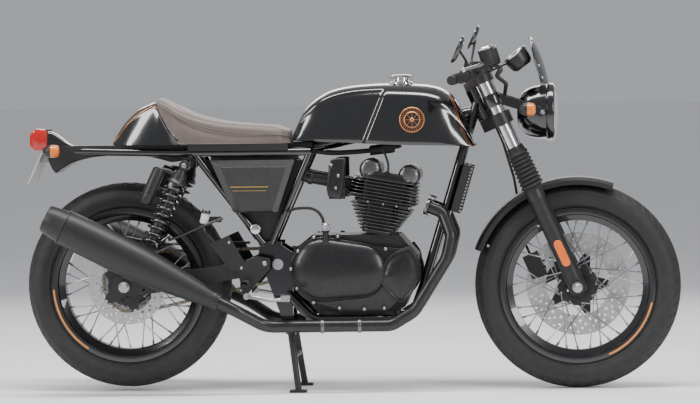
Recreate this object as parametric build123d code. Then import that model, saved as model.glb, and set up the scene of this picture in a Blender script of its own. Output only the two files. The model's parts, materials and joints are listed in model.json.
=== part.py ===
from build123d import *
import os
from math import sin, cos, radians, degrees, atan2, hypot, sqrt, pi

# Cafe racer motorcycle, parked upright on its centre stand.
# Millimetres. +X forward, +Y to the rider's left, +Z up, floor at Z = 0.
# The origin lies on the floor, midway between the two axles.

# Driving dimensions
WHEELBASE = 1398.0
FRONT_TYRE_R = 318.6
REAR_TYRE_R = 319.6
REAR_LIFT = 11.0          # rear tyre off the floor on the centre stand
RAKE = 24.0               # steering axis leans back, degrees
FORK_OFFSET = 40.0        # fork tubes ahead of the steering axis
LEG_Y = 102.5             # fork tube from the centre plane
STANCHION_R = 20.5
SEAT_GAP = 0.3            # bolted pieces lie this far apart
SLIP = 0.1                # tube in its clamp
RUN = 0.05                # axle in its bearing

FRONT_AXLE = (WHEELBASE / 2, FRONT_TYRE_R)
REAR_AXLE = (-WHEELBASE / 2, REAR_TYRE_R + REAR_LIFT)
AXLE_R = 10.0
AXLE_BORE_R = 6.5         # the front axle is hollow

# Fork frame: origin on the steering axis, level with the axle, z' up the axis
STEER_X = FRONT_AXLE[0] - FORK_OFFSET * cos(radians(RAKE))
STEER_Z = FRONT_AXLE[1] - FORK_OFFSET * sin(radians(RAKE))
FORK = Location((STEER_X, 0, STEER_Z), (0, -RAKE, 0))

# Stations along the steering axis
LOWER_YOKE = (548.0, 586.0)
UPPER_YOKE = (690.0, 712.0)
HEAD_TUBE = (LOWER_YOKE[1] + 0.5, UPPER_YOKE[0] - 0.5)
STEM_R = 16.0
SLIDER_TOP = 325.0
STANCHION_TOP = 742.0
CLAMP_H = 28.0            # handlebar clamp height on the stanchion

# Frame and engine places
PIVOT = (-227.0, 394.0)   # swingarm pivot
TUBE_R = 15.0
DOWN_LOW = (292.0, -58.0, 548.0)      # right down tube, where it bends
CRADLE_Y = 95.0
CRADLE_Z = 222.0
RAIL_Z = 742.0
RAIL_Y = 95.0
RAIL_R = 12.0
PLATE_Y = 60.0            # inner face of the pivot plates
PLATE_T = 12.0
CASE_Y = 88.0             # half width of the crankcase
DECK = (79.0, 484.0)      # where the barrels stand on the crankcase
LEAN = 10.0               # barrels lean forward, degrees
CHAIN_Y = 92.0
CHAIN_PITCH = 15.875
REAR_TEETH = 38
FRONT_TEETH = 15
OUTPUT_SHAFT = (-135.0, 400.0)
HEADER_Y = 134.0
HEADER_R = 19.0
SILENCER_Y = 226.0
SHOCK_Y = 132.0
SHOCK_TOP = (-508.0, 704.0)
SHOCK_LOW = (REAR_AXLE[0] + 54.0, REAR_AXLE[1] + 74.4)
CENTRE_STAND_PIVOT = (-190.0, 190.0)
TRAY_Y = 48.0             # half width of the tail tray
SIDE_STAND_PIVOT = (0.0, 100.0, 192.0)

parts = {}


def both(shape):
    """A right-hand piece and its mirror image on the left."""
    return Compound([shape, shape.mirror(Plane.XZ)])


def plate(points, y_from, y_to):
    """An outline in X and Z, extruded across Y."""
    low, high = min(y_from, y_to), max(y_from, y_to)
    face = make_face(Polyline(*[(x, low, z) for x, z in points], close=True))
    return extrude(face, amount=high - low, dir=(0, 1, 0))


def block(x, y, z):
    """A box from its low and high limits along each axis."""
    size = (x[1] - x[0], y[1] - y[0], z[1] - z[0])
    return Pos(sum(x) / 2, sum(y) / 2, sum(z) / 2) * Box(*size)


def rod(start, end, radius, end_radius=None):
    """A round bar, or a cone, from one point to another."""
    a, b = Vector(*start), Vector(*end)
    plane = Plane(origin=a, z_dir=b - a)
    if end_radius is None:
        return Solid.make_cylinder(radius, (b - a).length, plane)
    return Solid.make_cone(radius, end_radius, (b - a).length, plane)


def cross(x, z, radius, y_from, y_to):
    """A round bar across the machine."""
    return rod((x, min(y_from, y_to), z), (x, max(y_from, y_to), z), radius)


def tube(points, radius, bend):
    """A bent round tube: straight runs joined by arcs of one or several radii."""
    bends = bend if isinstance(bend, (list, tuple)) else [bend] * (len(points) - 2)
    path = FilletPolyline(*points, radius=list(bends)) if len(points) > 2 else Line(*points)
    section = Plane(origin=path @ 0, z_dir=path % 0) * Circle(radius)
    return sweep(section, path=path)


def turned(profile, x=0.0, z=0.0, arc=360.0):
    """A profile of (radius, y) points turned about an axis across the machine."""
    face = make_face(Polyline(*[(r, y, 0) for r, y in profile], close=True))
    return Pos(x, 0, z) * revolve(face, Axis.Y, arc)


def spun(profile, place):
    """A profile of (radius, height) points turned about a placed z axis."""
    face = make_face(Polyline(*[(r, 0, h) for r, h in profile], close=True))
    return place * revolve(face, Axis.Z)


def add(name, shape, *more):
    """Keeps a sub-part under its node name."""
    for other in more:
        shape = shape + other
    parts[name] = shape


def fork_point(x, z):
    """A point of the fork frame's centre plane, in the machine's X and Z."""
    a = radians(RAKE)
    return (STEER_X + x * cos(a) - z * sin(a), STEER_Z + x * sin(a) + z * cos(a))


def fork_place(x, y, z):
    """A point of the fork frame, in the machine's axes."""
    at = fork_point(x, z)
    return (at[0], y, at[1])


def behind(x, z):
    """A point given from the rear axle, in the machine's X and Z."""
    return (REAR_AXLE[0] + x, REAR_AXLE[1] + z)


# Wheels
BED_R = 226.0             # rim bed under the tyre bead
FLANGE_R = 242.0
WELL_R = 207.0
RIM_T = 6.0
SPOKES = 36
SPOKE_R = 2.0
SPOKE_SWEEP = 56.0        # hub hole to nipple, degrees round the axle

DISC_T = 5.0
FRONT_DISC_R = 160.0
FRONT_DISC_Y = 58.0       # inner face of the disc from the centre plane
REAR_DISC_R = 120.0
REAR_DISC_Y = 72.0
SPROCKET_T = 8.0
SPROCKET_Y = CHAIN_Y - SPROCKET_T / 2
BOSS_R = 44.0             # hub shoulder that carries a disc or the sprocket
NOSE_R = 20.0             # hub nose through its bore
NOSE = 8.0                # nose beyond the disc or sprocket

# name, axle, tyre radius, tyre half width, rim inner half width, flange radius,
# flange half width, shoulder on the right, shoulder on the left
WHEELS = [
    ("front", FRONT_AXLE, FRONT_TYRE_R, 50.0, 32.0, 62.0, 30.0, FRONT_DISC_Y, FRONT_DISC_Y),
    ("rear", REAR_AXLE, REAR_TYRE_R, 65.0, 44.0, 66.0, 34.0, REAR_DISC_Y, SPROCKET_Y),
]


def tyre(radius, half, bead):
    """A tyre section: beads inside the rim, sidewalls, shoulders and a round tread."""
    height = radius - FLANGE_R
    side = [
        (BED_R + SEAT_GAP, bead - SEAT_GAP),
        (FLANGE_R + 1.5, bead - SEAT_GAP),
        (FLANGE_R + 0.36 * height, half),
        (FLANGE_R + 0.72 * height, half * 0.90),
        (radius, half * 0.24),
    ]
    return turned(side + [(r, -y) for r, y in reversed(side)])


def rim(bead):
    """A drop-centre rim with turned-out flanges."""
    lip = RIM_T
    outer = [
        (FLANGE_R, bead + lip),
        (FLANGE_R, bead),
        (BED_R, bead),
        (BED_R, 0.62 * bead),
        (WELL_R, 0.40 * bead),
    ]
    inner = [
        (WELL_R - RIM_T, 0.44 * bead),
        (BED_R - RIM_T, 0.70 * bead),
        (BED_R - RIM_T, bead + lip),
    ]
    half = outer + [(r, -y) for r, y in reversed(outer)]
    return turned(half + [(r, -y) for r, y in reversed(inner)] + inner)


def laced_hub(flange_r, flange_half, right, left):
    """A hub with two flanges and its wire spokes, up to the rim well."""
    barrel = 30.0
    flange_t = 5.0

    def side(shoulder):
        seat = shoulder - SEAT_GAP
        return [
            (AXLE_R + RUN, shoulder + DISC_T + NOSE),
            (NOSE_R, shoulder + DISC_T + NOSE),
            (NOSE_R, seat),
            (BOSS_R, seat),
            (BOSS_R, flange_half + flange_t),
            (flange_r, flange_half + flange_t),
            (flange_r, flange_half),
            (barrel, flange_half - 8.0),
        ]

    hub = turned(side(left) + [(r, -y) for r, y in reversed(side(right))])
    reach = WELL_R - RIM_T - SEAT_GAP
    wires = []
    for k in range(SPOKES):
        side = 1 if k % 2 else -1
        turn = 1 if (k // 2) % 2 else -1
        head = flange_half + (flange_t + SPOKE_R * 0.6 if turn > 0 else -SPOKE_R * 0.6)
        at_rim = radians(k * 360.0 / SPOKES)
        at_hub = at_rim - turn * radians(SPOKE_SWEEP)
        hole = flange_r - 6.0
        a = Vector(hole * cos(at_hub), side * head, hole * sin(at_hub))
        b = Vector((reach + 4) * cos(at_rim), side * 5.0, (reach + 4) * sin(at_rim))
        plane = Plane(origin=a, z_dir=b - a)
        wires.append(extrude(plane * RegularPolygon(SPOKE_R, 6), amount=(b - a).length))
    ring = cross(0, 0, reach, -left, left)
    hub = hub + [wire & ring for wire in wires]
    return hub


for name, axle, radius, half, bead, flange_r, flange_half, right, left in WHEELS:
    at = Pos(axle[0], 0, axle[1])
    add(name + "_tyre", at * tyre(radius, half, bead))
    add(name + "_rim", at * rim(bead))
    add(name + "_spokes", at * laced_hub(flange_r, flange_half, right, left))

# Brake discs: an outer ring on a spider bolted to the hub end

def disc(radius, bore, hub_r, y, count):
    """A brake disc ring carried by a spider with straight arms."""
    ring = cross(0, 0, radius, y, y + DISC_T) - cross(0, 0, bore, y - 1, y + DISC_T + 1)
    centre = cross(0, 0, hub_r, y, y + DISC_T) - cross(0, 0, NOSE_R + SLIP, y - 1, y + DISC_T + 1)
    arms = []
    for k in range(count):
        arm = block((hub_r - 5, bore + 5), (y, y + DISC_T), (-7, 7))
        arms.append(arm.rotate(Axis.Y, k * 360.0 / count))
    return ring + centre + arms


front_disc = disc(FRONT_DISC_R, 126.0, 58.0, FRONT_DISC_Y, 5)
add("front_disc", Pos(FRONT_AXLE[0], 0, FRONT_AXLE[1]) * front_disc)
rear_disc = disc(REAR_DISC_R, 88.0, 58.0, REAR_DISC_Y, 5).mirror(Plane.XZ)
add("rear_disc", Pos(REAR_AXLE[0], 0, REAR_AXLE[1]) * rear_disc)

# Rear sprocket: toothed ring with round lightening holes
PITCH_R = CHAIN_PITCH / 2 / sin(pi / REAR_TEETH)


def sprocket(teeth, pitch_r, thick):
    points = []
    for k in range(teeth):
        for share, r in ((-0.30, pitch_r - 4.5), (-0.13, pitch_r + 4.5), (0.13, pitch_r + 4.5), (0.30, pitch_r - 4.5)):
            a = 2 * pi * (k + share) / teeth
            points.append((r * cos(a), r * sin(a)))
    return plate(points, -thick / 2, thick / 2)


ring = sprocket(REAR_TEETH, PITCH_R, SPROCKET_T) - cross(0, 0, NOSE_R + SLIP, -20, 20)
for k in range(6):
    a = radians(60 * k + 30)
    ring = ring - cross(68 * cos(a), 68 * sin(a), 13.0, -20, 20)
add("rear_sprocket", Pos(REAR_AXLE[0], CHAIN_Y, REAR_AXLE[1]) * ring)

# Axles with their nuts and spacers
FORK_INNER_Y = LEG_Y - 28.0
axle = cross(*FRONT_AXLE, AXLE_R, -132, 132)
FRONT_NOSE = FRONT_DISC_Y + DISC_T + NOSE
LUG_OUT = LEG_Y + 28.0
axle += both(cross(*FRONT_AXLE, 15.0, -FORK_INNER_Y + SEAT_GAP, -FRONT_NOSE - 0.5))
axle += both(cross(*FRONT_AXLE, 16.0, -LUG_OUT - 14, -LUG_OUT - SEAT_GAP))
axle -= cross(*FRONT_AXLE, AXLE_BORE_R, -200, 200)
add("front_axle", axle)
SWING_IN, SWING_OUT = 107.0, 137.0
axle = cross(*REAR_AXLE, AXLE_R, -146, 146)
axle += cross(*REAR_AXLE, 15.0, -SWING_IN + SEAT_GAP, -REAR_DISC_Y - DISC_T - NOSE - 0.5)
axle += cross(*REAR_AXLE, 15.0, SPROCKET_Y + DISC_T + NOSE + 0.5, SWING_IN - SEAT_GAP)
axle += both(cross(*REAR_AXLE, 17.0, -152, -SWING_OUT - SEAT_GAP))
add("rear_axle", axle)

# Fork: legs, gaiters, yokes
SLIDER_R = 27.0


def fork_leg():
    leg = Pos(FORK_OFFSET, -LEG_Y, SLIDER_TOP) * Cylinder(
        STANCHION_R, STANCHION_TOP - SLIDER_TOP, align=(Align.CENTER, Align.CENTER, Align.MIN))
    profile = [(0, -20), (SLIDER_R - 5, -20), (SLIDER_R, -8), (SLIDER_R, SLIDER_TOP - 30),
               (SLIDER_R + 2, SLIDER_TOP - 26), (SLIDER_R + 2, SLIDER_TOP), (0, SLIDER_TOP)]
    slider = spun(profile, Pos(FORK_OFFSET, -LEG_Y, 0))
    leg = FORK * (leg + slider)
    lug = cross(*FRONT_AXLE, 24.0, -LUG_OUT, -FORK_INNER_Y)
    return leg + lug - cross(*FRONT_AXLE, AXLE_R + SLIP, -200, -10)


add("fork_legs", both(fork_leg()))

GAITER = (SLIDER_TOP + SEAT_GAP, 462.0)
GAITER_R = 35.0
RIBS = 8


def gaiter():
    """A rubber bellows: a zigzag of ribs between two plain cuffs."""
    cuff = 9.0
    low, high = GAITER[0] + cuff, GAITER[1] - cuff
    step = (high - low) / RIBS
    inner = STANCHION_R + SEAT_GAP
    profile = [(inner, GAITER[0]), (SLIDER_R + 2, GAITER[0]), (SLIDER_R + 2, low)]
    for k in range(RIBS):
        profile.append((GAITER_R - 0.35 * k, low + (k + 0.5) * step))
        profile.append((SLIDER_R + 1 - 0.35 * k, low + (k + 1.0) * step))
    profile += [(STANCHION_R + 4, high + 1), (STANCHION_R + 4, GAITER[1]), (inner, GAITER[1])]
    return FORK * spun(profile, Pos(FORK_OFFSET, -LEG_Y, 0))


add("fork_gaiters", both(gaiter()))


def yoke(low, high, stem_boss, clamp_r):
    outline = make_hull((Circle(stem_boss) + Pos(FORK_OFFSET, LEG_Y) * Circle(clamp_r)
                         + Pos(FORK_OFFSET, -LEG_Y) * Circle(clamp_r)).edges())
    solid = extrude(Pos(0, 0, low) * outline, amount=high - low)
    for side in (-1, 1):
        solid -= Pos(FORK_OFFSET, side * LEG_Y, (low + high) / 2) * Cylinder(STANCHION_R + SLIP, 2 * (high - low))
    return solid


yokes = yoke(*LOWER_YOKE, 27.0, 30.0) + yoke(*UPPER_YOKE, 26.0, 28.0)
yokes += Pos(0, 0, LOWER_YOKE[0]) * Cylinder(
    STEM_R, UPPER_YOKE[1] - LOWER_YOKE[0] + 10, align=(Align.CENTER, Align.CENTER, Align.MIN))
add("yokes", FORK * yokes)

# Front mudguard: a turned shell over the tyre, with a boss to each fork leg
GUARD_FRONT, GUARD_REAR = 70.0, 160.0
GUARD_R = FRONT_TYRE_R + 20.0
GUARD_T = 3.0
GUARD_Y = 64.0


def mudguard():
    shape = [(GUARD_R - 26, GUARD_Y), (GUARD_R - 12, GUARD_Y - 1), (GUARD_R - 3, GUARD_Y - 14), (GUARD_R, GUARD_Y - 36)]
    outer = shape + [(r, -y) for r, y in reversed(shape)]
    inner = [(r - (0 if r < GUARD_R - 20 else GUARD_T), y - GUARD_T if y > 0 else y + GUARD_T) for r, y in outer]
    shell = turned(outer + list(reversed(inner)), arc=GUARD_REAR - GUARD_FRONT)
    return Pos(FRONT_AXLE[0], 0, FRONT_AXLE[1]) * shell.rotate(Axis.Y, -GUARD_REAR)


boss = FORK * block((FORK_OFFSET - 16, FORK_OFFSET + 16), (-FORK_INNER_Y + SEAT_GAP + 1, -GUARD_Y + 2), (286, 322))
add("front_mudguard", mudguard() + both(boss))

# Headlamp: bowl, rim and two ears clamped on the stanchions
LAMP = fork_point(168.1, 531.2)
LAMP_R = 89.0
LAMP_AXIS = Plane(origin=(LAMP[0], 0, LAMP[1]), x_dir=(0, 0, 1), z_dir=(1, 0, 0)).location
bowl = spun([(0, -84), (30, -82), (56, -72), (74, -50), (83, -20), (84, 8), (LAMP_R, 10), (LAMP_R, 30),
             (82, 33), (82, 26), (0, 26)], LAMP_AXIS)
lens = spun([(0, 26.3), (81.7, 26.3), (81.7, 33), (70, 38), (45, 43), (0, 46)], LAMP_AXIS)


def lamp_ear():
    ring_out = Pos(FORK_OFFSET, -LEG_Y, 630) * Cylinder(STANCHION_R + 6, 40)
    ring_in = Pos(FORK_OFFSET, -LEG_Y, 630) * Cylinder(STANCHION_R + SLIP, 90)
    x0, z0 = fork_point(FORK_OFFSET + 15, 630)
    arm = plate([(x0, z0 + 18), (x0, z0 - 14), (LAMP[0] - 6, LAMP[1] - 14), (LAMP[0] + 6, LAMP[1] + 8),
                 (LAMP[0] - 8, LAMP[1] + 16)], -96, -91)
    bolt = cross(LAMP[0] - 4, LAMP[1], 9, -92, -82)
    return (FORK * ring_out + arm + bolt) - FORK * ring_in


add("headlamp", bowl + both(lamp_ear()))
add("headlamp_lens", lens)

# Clocks: two round pods on a bracket over the upper yoke
CLOCK_R = 41.0
CLOCK_Y = 46.0
CLOCK_AT = fork_point(157.8, 732.9)
CLOCK_TILT = 37.6


def clock():
    place = Location((CLOCK_AT[0], -CLOCK_Y, CLOCK_AT[1]), (0, -CLOCK_TILT, 0))
    return spun([(0, -50), (26, -50), (34, -40), (38, -8), (CLOCK_R, -6), (CLOCK_R, 2), (38, 3), (0, 3)], place)


shelf = FORK * block((STEM_R + 1, 160), (-20, 20), (UPPER_YOKE[1] + SEAT_GAP, UPPER_YOKE[1] + 6))
bridge = Location((CLOCK_AT[0], 0, CLOCK_AT[1]), (0, -CLOCK_TILT, 0)) * block((-15, 15), (-52, 52), (-46, -13))
add("clocks", clock() + clock().mirror(Plane.XZ) + bridge + shelf)

# Flyscreen: a curved sheet over the headlamp
# x and z in the fork frame, top to bottom
SCREEN = [(231.8, 757.9), (233.8, 703.4), (227.9, 645.8), (220.4, 606.9)]
SCREEN_T = 4.0
SCREEN_Y = 96.0
outer = [fork_point(x, z) for x, z in SCREEN]
inner = [(x - SCREEN_T, z - 1) for x, z in reversed(outer)]
sheet = plate(outer + inner, -SCREEN_Y, SCREEN_Y)
top, low = outer[0][1], outer[-1][1]
window = Plane(origin=(outer[0][0] - 10, 0, 0), x_dir=(0, 1, 0), z_dir=(1, 0, 0)) * make_face(
    Polyline((-66, top + 10), (66, top + 10), (SCREEN_Y, low + 64), (SCREEN_Y - 4, low - 46),
             (-SCREEN_Y + 4, low - 46), (-SCREEN_Y, low + 64), close=True))
add("flyscreen", sheet & extrude(window, amount=120))

# Handlebars: clip-on tubes clamped over the upper yoke, with grips and end weights
BAR_R = 11.0
GRIP_R = 16.5
GRIP_SHARE = 0.46         # the grip starts this far along the tube
WEIGHT = 14.0
CLAMP_Z = UPPER_YOKE[1] + SEAT_GAP
clamp_at = fork_point(FORK_OFFSET, CLAMP_Z + CLAMP_H / 2)
BAR_START = Vector(clamp_at[0] - 8, -LEG_Y - 18, clamp_at[1])
BAR_END = Vector(*fork_place(-40.0, -356.0, 735.1))
LEVER_TIP = fork_place(6.0, -334.0, 748.8)


def on_bar(share):
    return BAR_START + (BAR_END - BAR_START) * share


def clip_on():
    centre = Pos(FORK_OFFSET, -LEG_Y, CLAMP_Z + CLAMP_H / 2)
    ring_out = FORK * (centre * Cylinder(STANCHION_R + 9, CLAMP_H))
    ring_in = FORK * (centre * Cylinder(STANCHION_R + SLIP, 4 * CLAMP_H))
    weight_at = on_bar(1.0 - WEIGHT / (BAR_END - BAR_START).length)
    bar = rod(BAR_START, weight_at, BAR_R)
    grip = rod(on_bar(GRIP_SHARE), weight_at, GRIP_R)
    weight = rod(weight_at, BAR_END, 14.5)
    return (ring_out + bar + grip + weight) - ring_in


add("handlebars", both(clip_on()))


# Hand controls: a switch and master-cylinder housing with its lever
def hand_control():
    housing = rod(on_bar(0.20), on_bar(0.44), 22.0)
    seat = on_bar(0.29)
    pump = block((seat.X + 10, seat.X + 62), (seat.Y - 20, seat.Y + 20), (seat.Z + 12, seat.Z + 42))
    pot = pump + block((seat.X + 14, seat.X + 66), (seat.Y - 24, seat.Y + 24), (seat.Z + 42, seat.Z + 86))
    lid = block((seat.X + 12, seat.X + 68), (seat.Y - 26, seat.Y + 26), (seat.Z + 86, seat.Z + 94))
    bridge = block((seat.X - 4, seat.X + 30), (seat.Y - 14, seat.Y + 14), (seat.Z + 8, seat.Z + 30))
    blade = rod((seat.X + 50, seat.Y - 10, seat.Z + 20), LEVER_TIP, 7.0, 5.0)
    knob = Pos(*LEVER_TIP) * Sphere(8.0)
    return housing + bridge + pot + lid + blade + knob - rod(on_bar(0.1), on_bar(0.6), BAR_R + SLIP)


add("hand_controls", both(hand_control()))

# Mirrors: round heads on bent stems from the control housings
# side, head centre in the fork frame
MIRRORS = [(-1, 16.8, 810.9), (1, 54.2, 835.9)]
MIRROR_R = 45.0
MIRROR_Y = 327.0
mirror_set = []
stem_at = on_bar(0.40)
for side, ahead, up in MIRRORS:
    x, z = fork_point(ahead, up)
    place = Location((x, side * MIRROR_Y, z), (0, -65, 0))
    head = spun([(0, -9), (30, -8), (MIRROR_R, 0), (MIRROR_R, 5), (0, 5)], place)
    low = (stem_at.X, -side * stem_at.Y, stem_at.Z + 24.2)
    bend = (stem_at.X, -side * (stem_at.Y - 14), stem_at.Z + 44)
    stem = tube([low, bend, (x + 6, side * (MIRROR_Y - 7), z - 6)], 4.0, 14.0)
    foot = rod(low, (low[0], low[1], low[2] + 12), 8.0)
    mirror_set.append(head + stem + foot)
add("mirrors", Compound(mirror_set))


# Indicators: a bullet body on a short stalk
def bullet(x, y, z, stalk_to):
    body = spun([(0, -26), (9, -24), (17, -12), (20, 2), (20, 20), (12, 26), (0, 27)],
                Plane(origin=(x, y, z), x_dir=(0, 0, 1), z_dir=(1, 0, 0)).location)
    return body + cross(x, z, 6.0, y, stalk_to)


lamp_stalk = fork_place(126.5, -134.0, 560.7)
add("front_indicators", both(bullet(*lamp_stalk, -96.3)))
add("rear_indicators", both(bullet(-925, -118, 752, -TRAY_Y - SEAT_GAP)))

# Front brake: caliper straddling the disc behind the left slider
CALIPER_AT = (-58.2, 106.5)
caliper_x, caliper_z = CALIPER_AT
caliper = FORK * block((caliper_x - 25, caliper_x + 25), (FRONT_DISC_Y - 16, FRONT_DISC_Y + 30),
                       (caliper_z - 40, caliper_z + 40))
slot = cross(*FRONT_AXLE, FRONT_DISC_R + 6, FRONT_DISC_Y - 5, FRONT_DISC_Y + DISC_T + 5)
bracket = FORK * block((caliper_x - 8, FORK_OFFSET - 20), (78.0, 86.0), (40, 110))
slider_room = FORK * (Pos(FORK_OFFSET, LEG_Y, 80) * Cylinder(SLIDER_R + SEAT_GAP, 300))
add("front_caliper", caliper + bracket - slot - slider_room)

# Front brake hose: down from the lower yoke, by the mudguard to the caliper
HOSE_R = 4.0
HOSE_Y = 76.0
hose_points = [fork_place(12, 40, LOWER_YOKE[0] - SEAT_GAP), fork_place(12, 40, 500), fork_place(-4.3, 70, 382.5),
               fork_place(-31.4, HOSE_Y, 279.6), fork_place(caliper_x, HOSE_Y, 190),
               fork_place(caliper_x, HOSE_Y, caliper_z + 40 + SEAT_GAP)]
add("brake_hose", tube(hose_points, HOSE_R, [60, 70, 90, 60]))

# Hand cables: from each control, round the clocks, down to the lower yoke
pump_front = on_bar(0.29) + Vector(62 + SEAT_GAP, 0, 26)
cable_points = [pump_front, pump_front + Vector(40, 0, 2), fork_place(80, -142, 694), fork_place(98, -108, 660),
                fork_place(76, -58, 625), fork_place(12, -40, 612), fork_place(12, -40, LOWER_YOKE[1] + SEAT_GAP)]
add("hand_cables", both(tube(cable_points, HOSE_R, [24, 24, 24, 24, 16])))

# Frame: head tube, backbone, twin down tubes, cradle and pivot plates
HEAD_R = 28.0
BACKBONE_R = 19.0
DOWN_HIGH = fork_place(-10.5, -14.0, 641.4)
BACKBONE_HIGH = fork_place(12.0, 0.0, 612.0)
BACKBONE_LOW = (-140.0, 0.0, 752.0)


def cradle_side():
    points = [DOWN_HIGH, DOWN_LOW, (226, -74, 330), (186, -CRADLE_Y, CRADLE_Z),
              (-118, -CRADLE_Y, CRADLE_Z), (-196, -66, 300)]
    return tube(points, TUBE_R, [160, 160, 50, 60])


STAND_PIN_R = 9.0
SIDE_PIN_R = 6.0
SIDE_BOSS = 10.0          # half width of the side stand's eye
SIDE_AXIS = Vector(-0.05813, -0.828292, -0.557273)


def side_stand_bracket():
    """An ear under the left cradle tube, with the side stand's pivot pin."""
    at = Vector(*SIDE_STAND_PIVOT)
    up = (Vector(0, 0, 1) - SIDE_AXIS * SIDE_AXIS.Z).normalized()
    ear_at = at - SIDE_AXIS * (SIDE_BOSS + SEAT_GAP + 7)
    ear = Plane(origin=ear_at, x_dir=up, z_dir=SIDE_AXIS) * (Pos(4, 0) * Rectangle(34, 26))
    pin = rod(ear_at, at + SIDE_AXIS * (SIDE_BOSS + 2), SIDE_PIN_R)
    return extrude(ear, amount=7) + pin


def pivot_plate():
    sx, sz = CENTRE_STAND_PIVOT
    outline = [(-182, 250), (-182, 430), (-214, 452), (-282, 452), (-290, 420), (-262, 350), (-226, 250),
               (sx - 15, sz - 14), (sx + 15, sz - 14)]
    return plate(outline, -PLATE_Y - PLATE_T, -PLATE_Y)


frame = FORK * (Pos(0, 0, sum(HEAD_TUBE) / 2) * Cylinder(HEAD_R, HEAD_TUBE[1] - HEAD_TUBE[0]))
for side in (0, 1):
    piece = cradle_side() + pivot_plate()
    frame += piece.mirror(Plane.XZ) if side else piece
frame += rod(BACKBONE_HIGH, BACKBONE_LOW, BACKBONE_R)
frame += cross(-196, 262, 14.0, -72, 72)
frame += cross(-118, CRADLE_Z, 12.0, -CRADLE_Y, CRADLE_Y)
frame += cross(160, CRADLE_Z, 12.0, -CRADLE_Y, CRADLE_Y)
stem_room = FORK * (Pos(0, 0, 640) * Cylinder(STEM_R + RUN, 400))
frame -= stem_room
frame -= cross(*PIVOT, 10.0 + SLIP, -100, 100)
frame -= cross(*CENTRE_STAND_PIVOT, STAND_PIN_R + RUN, -100, 100)
frame += side_stand_bracket()
add("frame_cradle", frame)


LEG_FOOT_Y = 66.0         # frame legs end over the pivot plates


def rear_frame_side():
    rail = tube([(-120, -RAIL_Y, RAIL_Z), (-560, -RAIL_Y, RAIL_Z), (-870, -62, RAIL_Z + 8)], RAIL_R, 200)
    front_leg = rod((-122, -RAIL_Y, RAIL_Z), (-246, -LEG_FOOT_Y, 458), 11.0)
    rear_leg = rod((-484, -RAIL_Y, RAIL_Z), (-272, -LEG_FOOT_Y, 458), 11.0)
    foot = block((-286, -216), (-PLATE_Y - PLATE_T, -PLATE_Y), (452 + SEAT_GAP, 464))
    legs = front_leg + rear_leg - block((-400, 0), (-120, 0), (300, 452 + SEAT_GAP))
    eye = cross(*SHOCK_TOP, 8.0, -SHOCK_Y - 14, -80)
    hanger = block((-520, -496), (-92, -82), (RAIL_Z - 50, RAIL_Z))
    return rail + legs + foot + eye + hanger


rear = rear_frame_side() + rear_frame_side().mirror(Plane.XZ)
rear += cross(-128, RAIL_Z, 10.0, -RAIL_Y, RAIL_Y)
rear += cross(-484, RAIL_Z, 10.0, -RAIL_Y, RAIL_Y)
rear += cross(-860, RAIL_Z + 8, 9.0, -64, 64)
rear -= rod(BACKBONE_HIGH, BACKBONE_LOW, BACKBONE_R + SEAT_GAP)
add("frame_rear", rear)

# Swingarm: pivot tube, inner arms, cross tube and two legs to the rear axle
CROSS_TUBE = (-318.0, 384.0)
SPOOL_AT = (60.0, -10.0)  # threaded hole for a stand spool, from the rear axle
SPOOL_R = 4.0
SPOOL_DEPTH = 15.0


def swing_side():
    inner = plate([(PIVOT[0], PIVOT[1] + 18), (PIVOT[0], PIVOT[1] - 18), (CROSS_TUBE[0], CROSS_TUBE[1] - 20),
                   (CROSS_TUBE[0], CROSS_TUBE[1] + 20)], -58, -42)
    x, z = CROSS_TUBE
    leg = plate([(x + 22, z + 24), (x + 18, z - 22), behind(59, -25), behind(-31, -29), behind(-43, 0), behind(-31, 28),
                 behind(59, 34)], -SWING_OUT, -SWING_IN)
    x, z = SHOCK_LOW
    lug = plate([(x + 27, z - 44), (x - 19, z - 44), (x - 13, z + 5), (x, z + 15), (x + 13, z + 5)],
                -SHOCK_Y + 13 + SEAT_GAP, -SWING_IN)
    pin = cross(*SHOCK_LOW, 7.0, -SHOCK_Y - 16, -SWING_IN)
    return inner + leg + lug + pin


swing = cross(*PIVOT, 22.0, -58, 58) + cross(*CROSS_TUBE, 24.0, -SWING_IN, SWING_IN)
swing += swing_side() + swing_side().mirror(Plane.XZ)
swing -= cross(*REAR_AXLE, AXLE_R + SLIP, -200, 200)
swing -= both(cross(*behind(*SPOOL_AT), SPOOL_R, -SWING_OUT - 1, -SWING_OUT + SPOOL_DEPTH))
swing -= cross(*PIVOT, 10.0 + SLIP, -100, 100)
add("swingarm", swing)
add("pivot_bolt", cross(*PIVOT, 10.0, -78, 78) + both(cross(*PIVOT, 17.0, -84, -PLATE_Y - PLATE_T - SEAT_GAP)))


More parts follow.
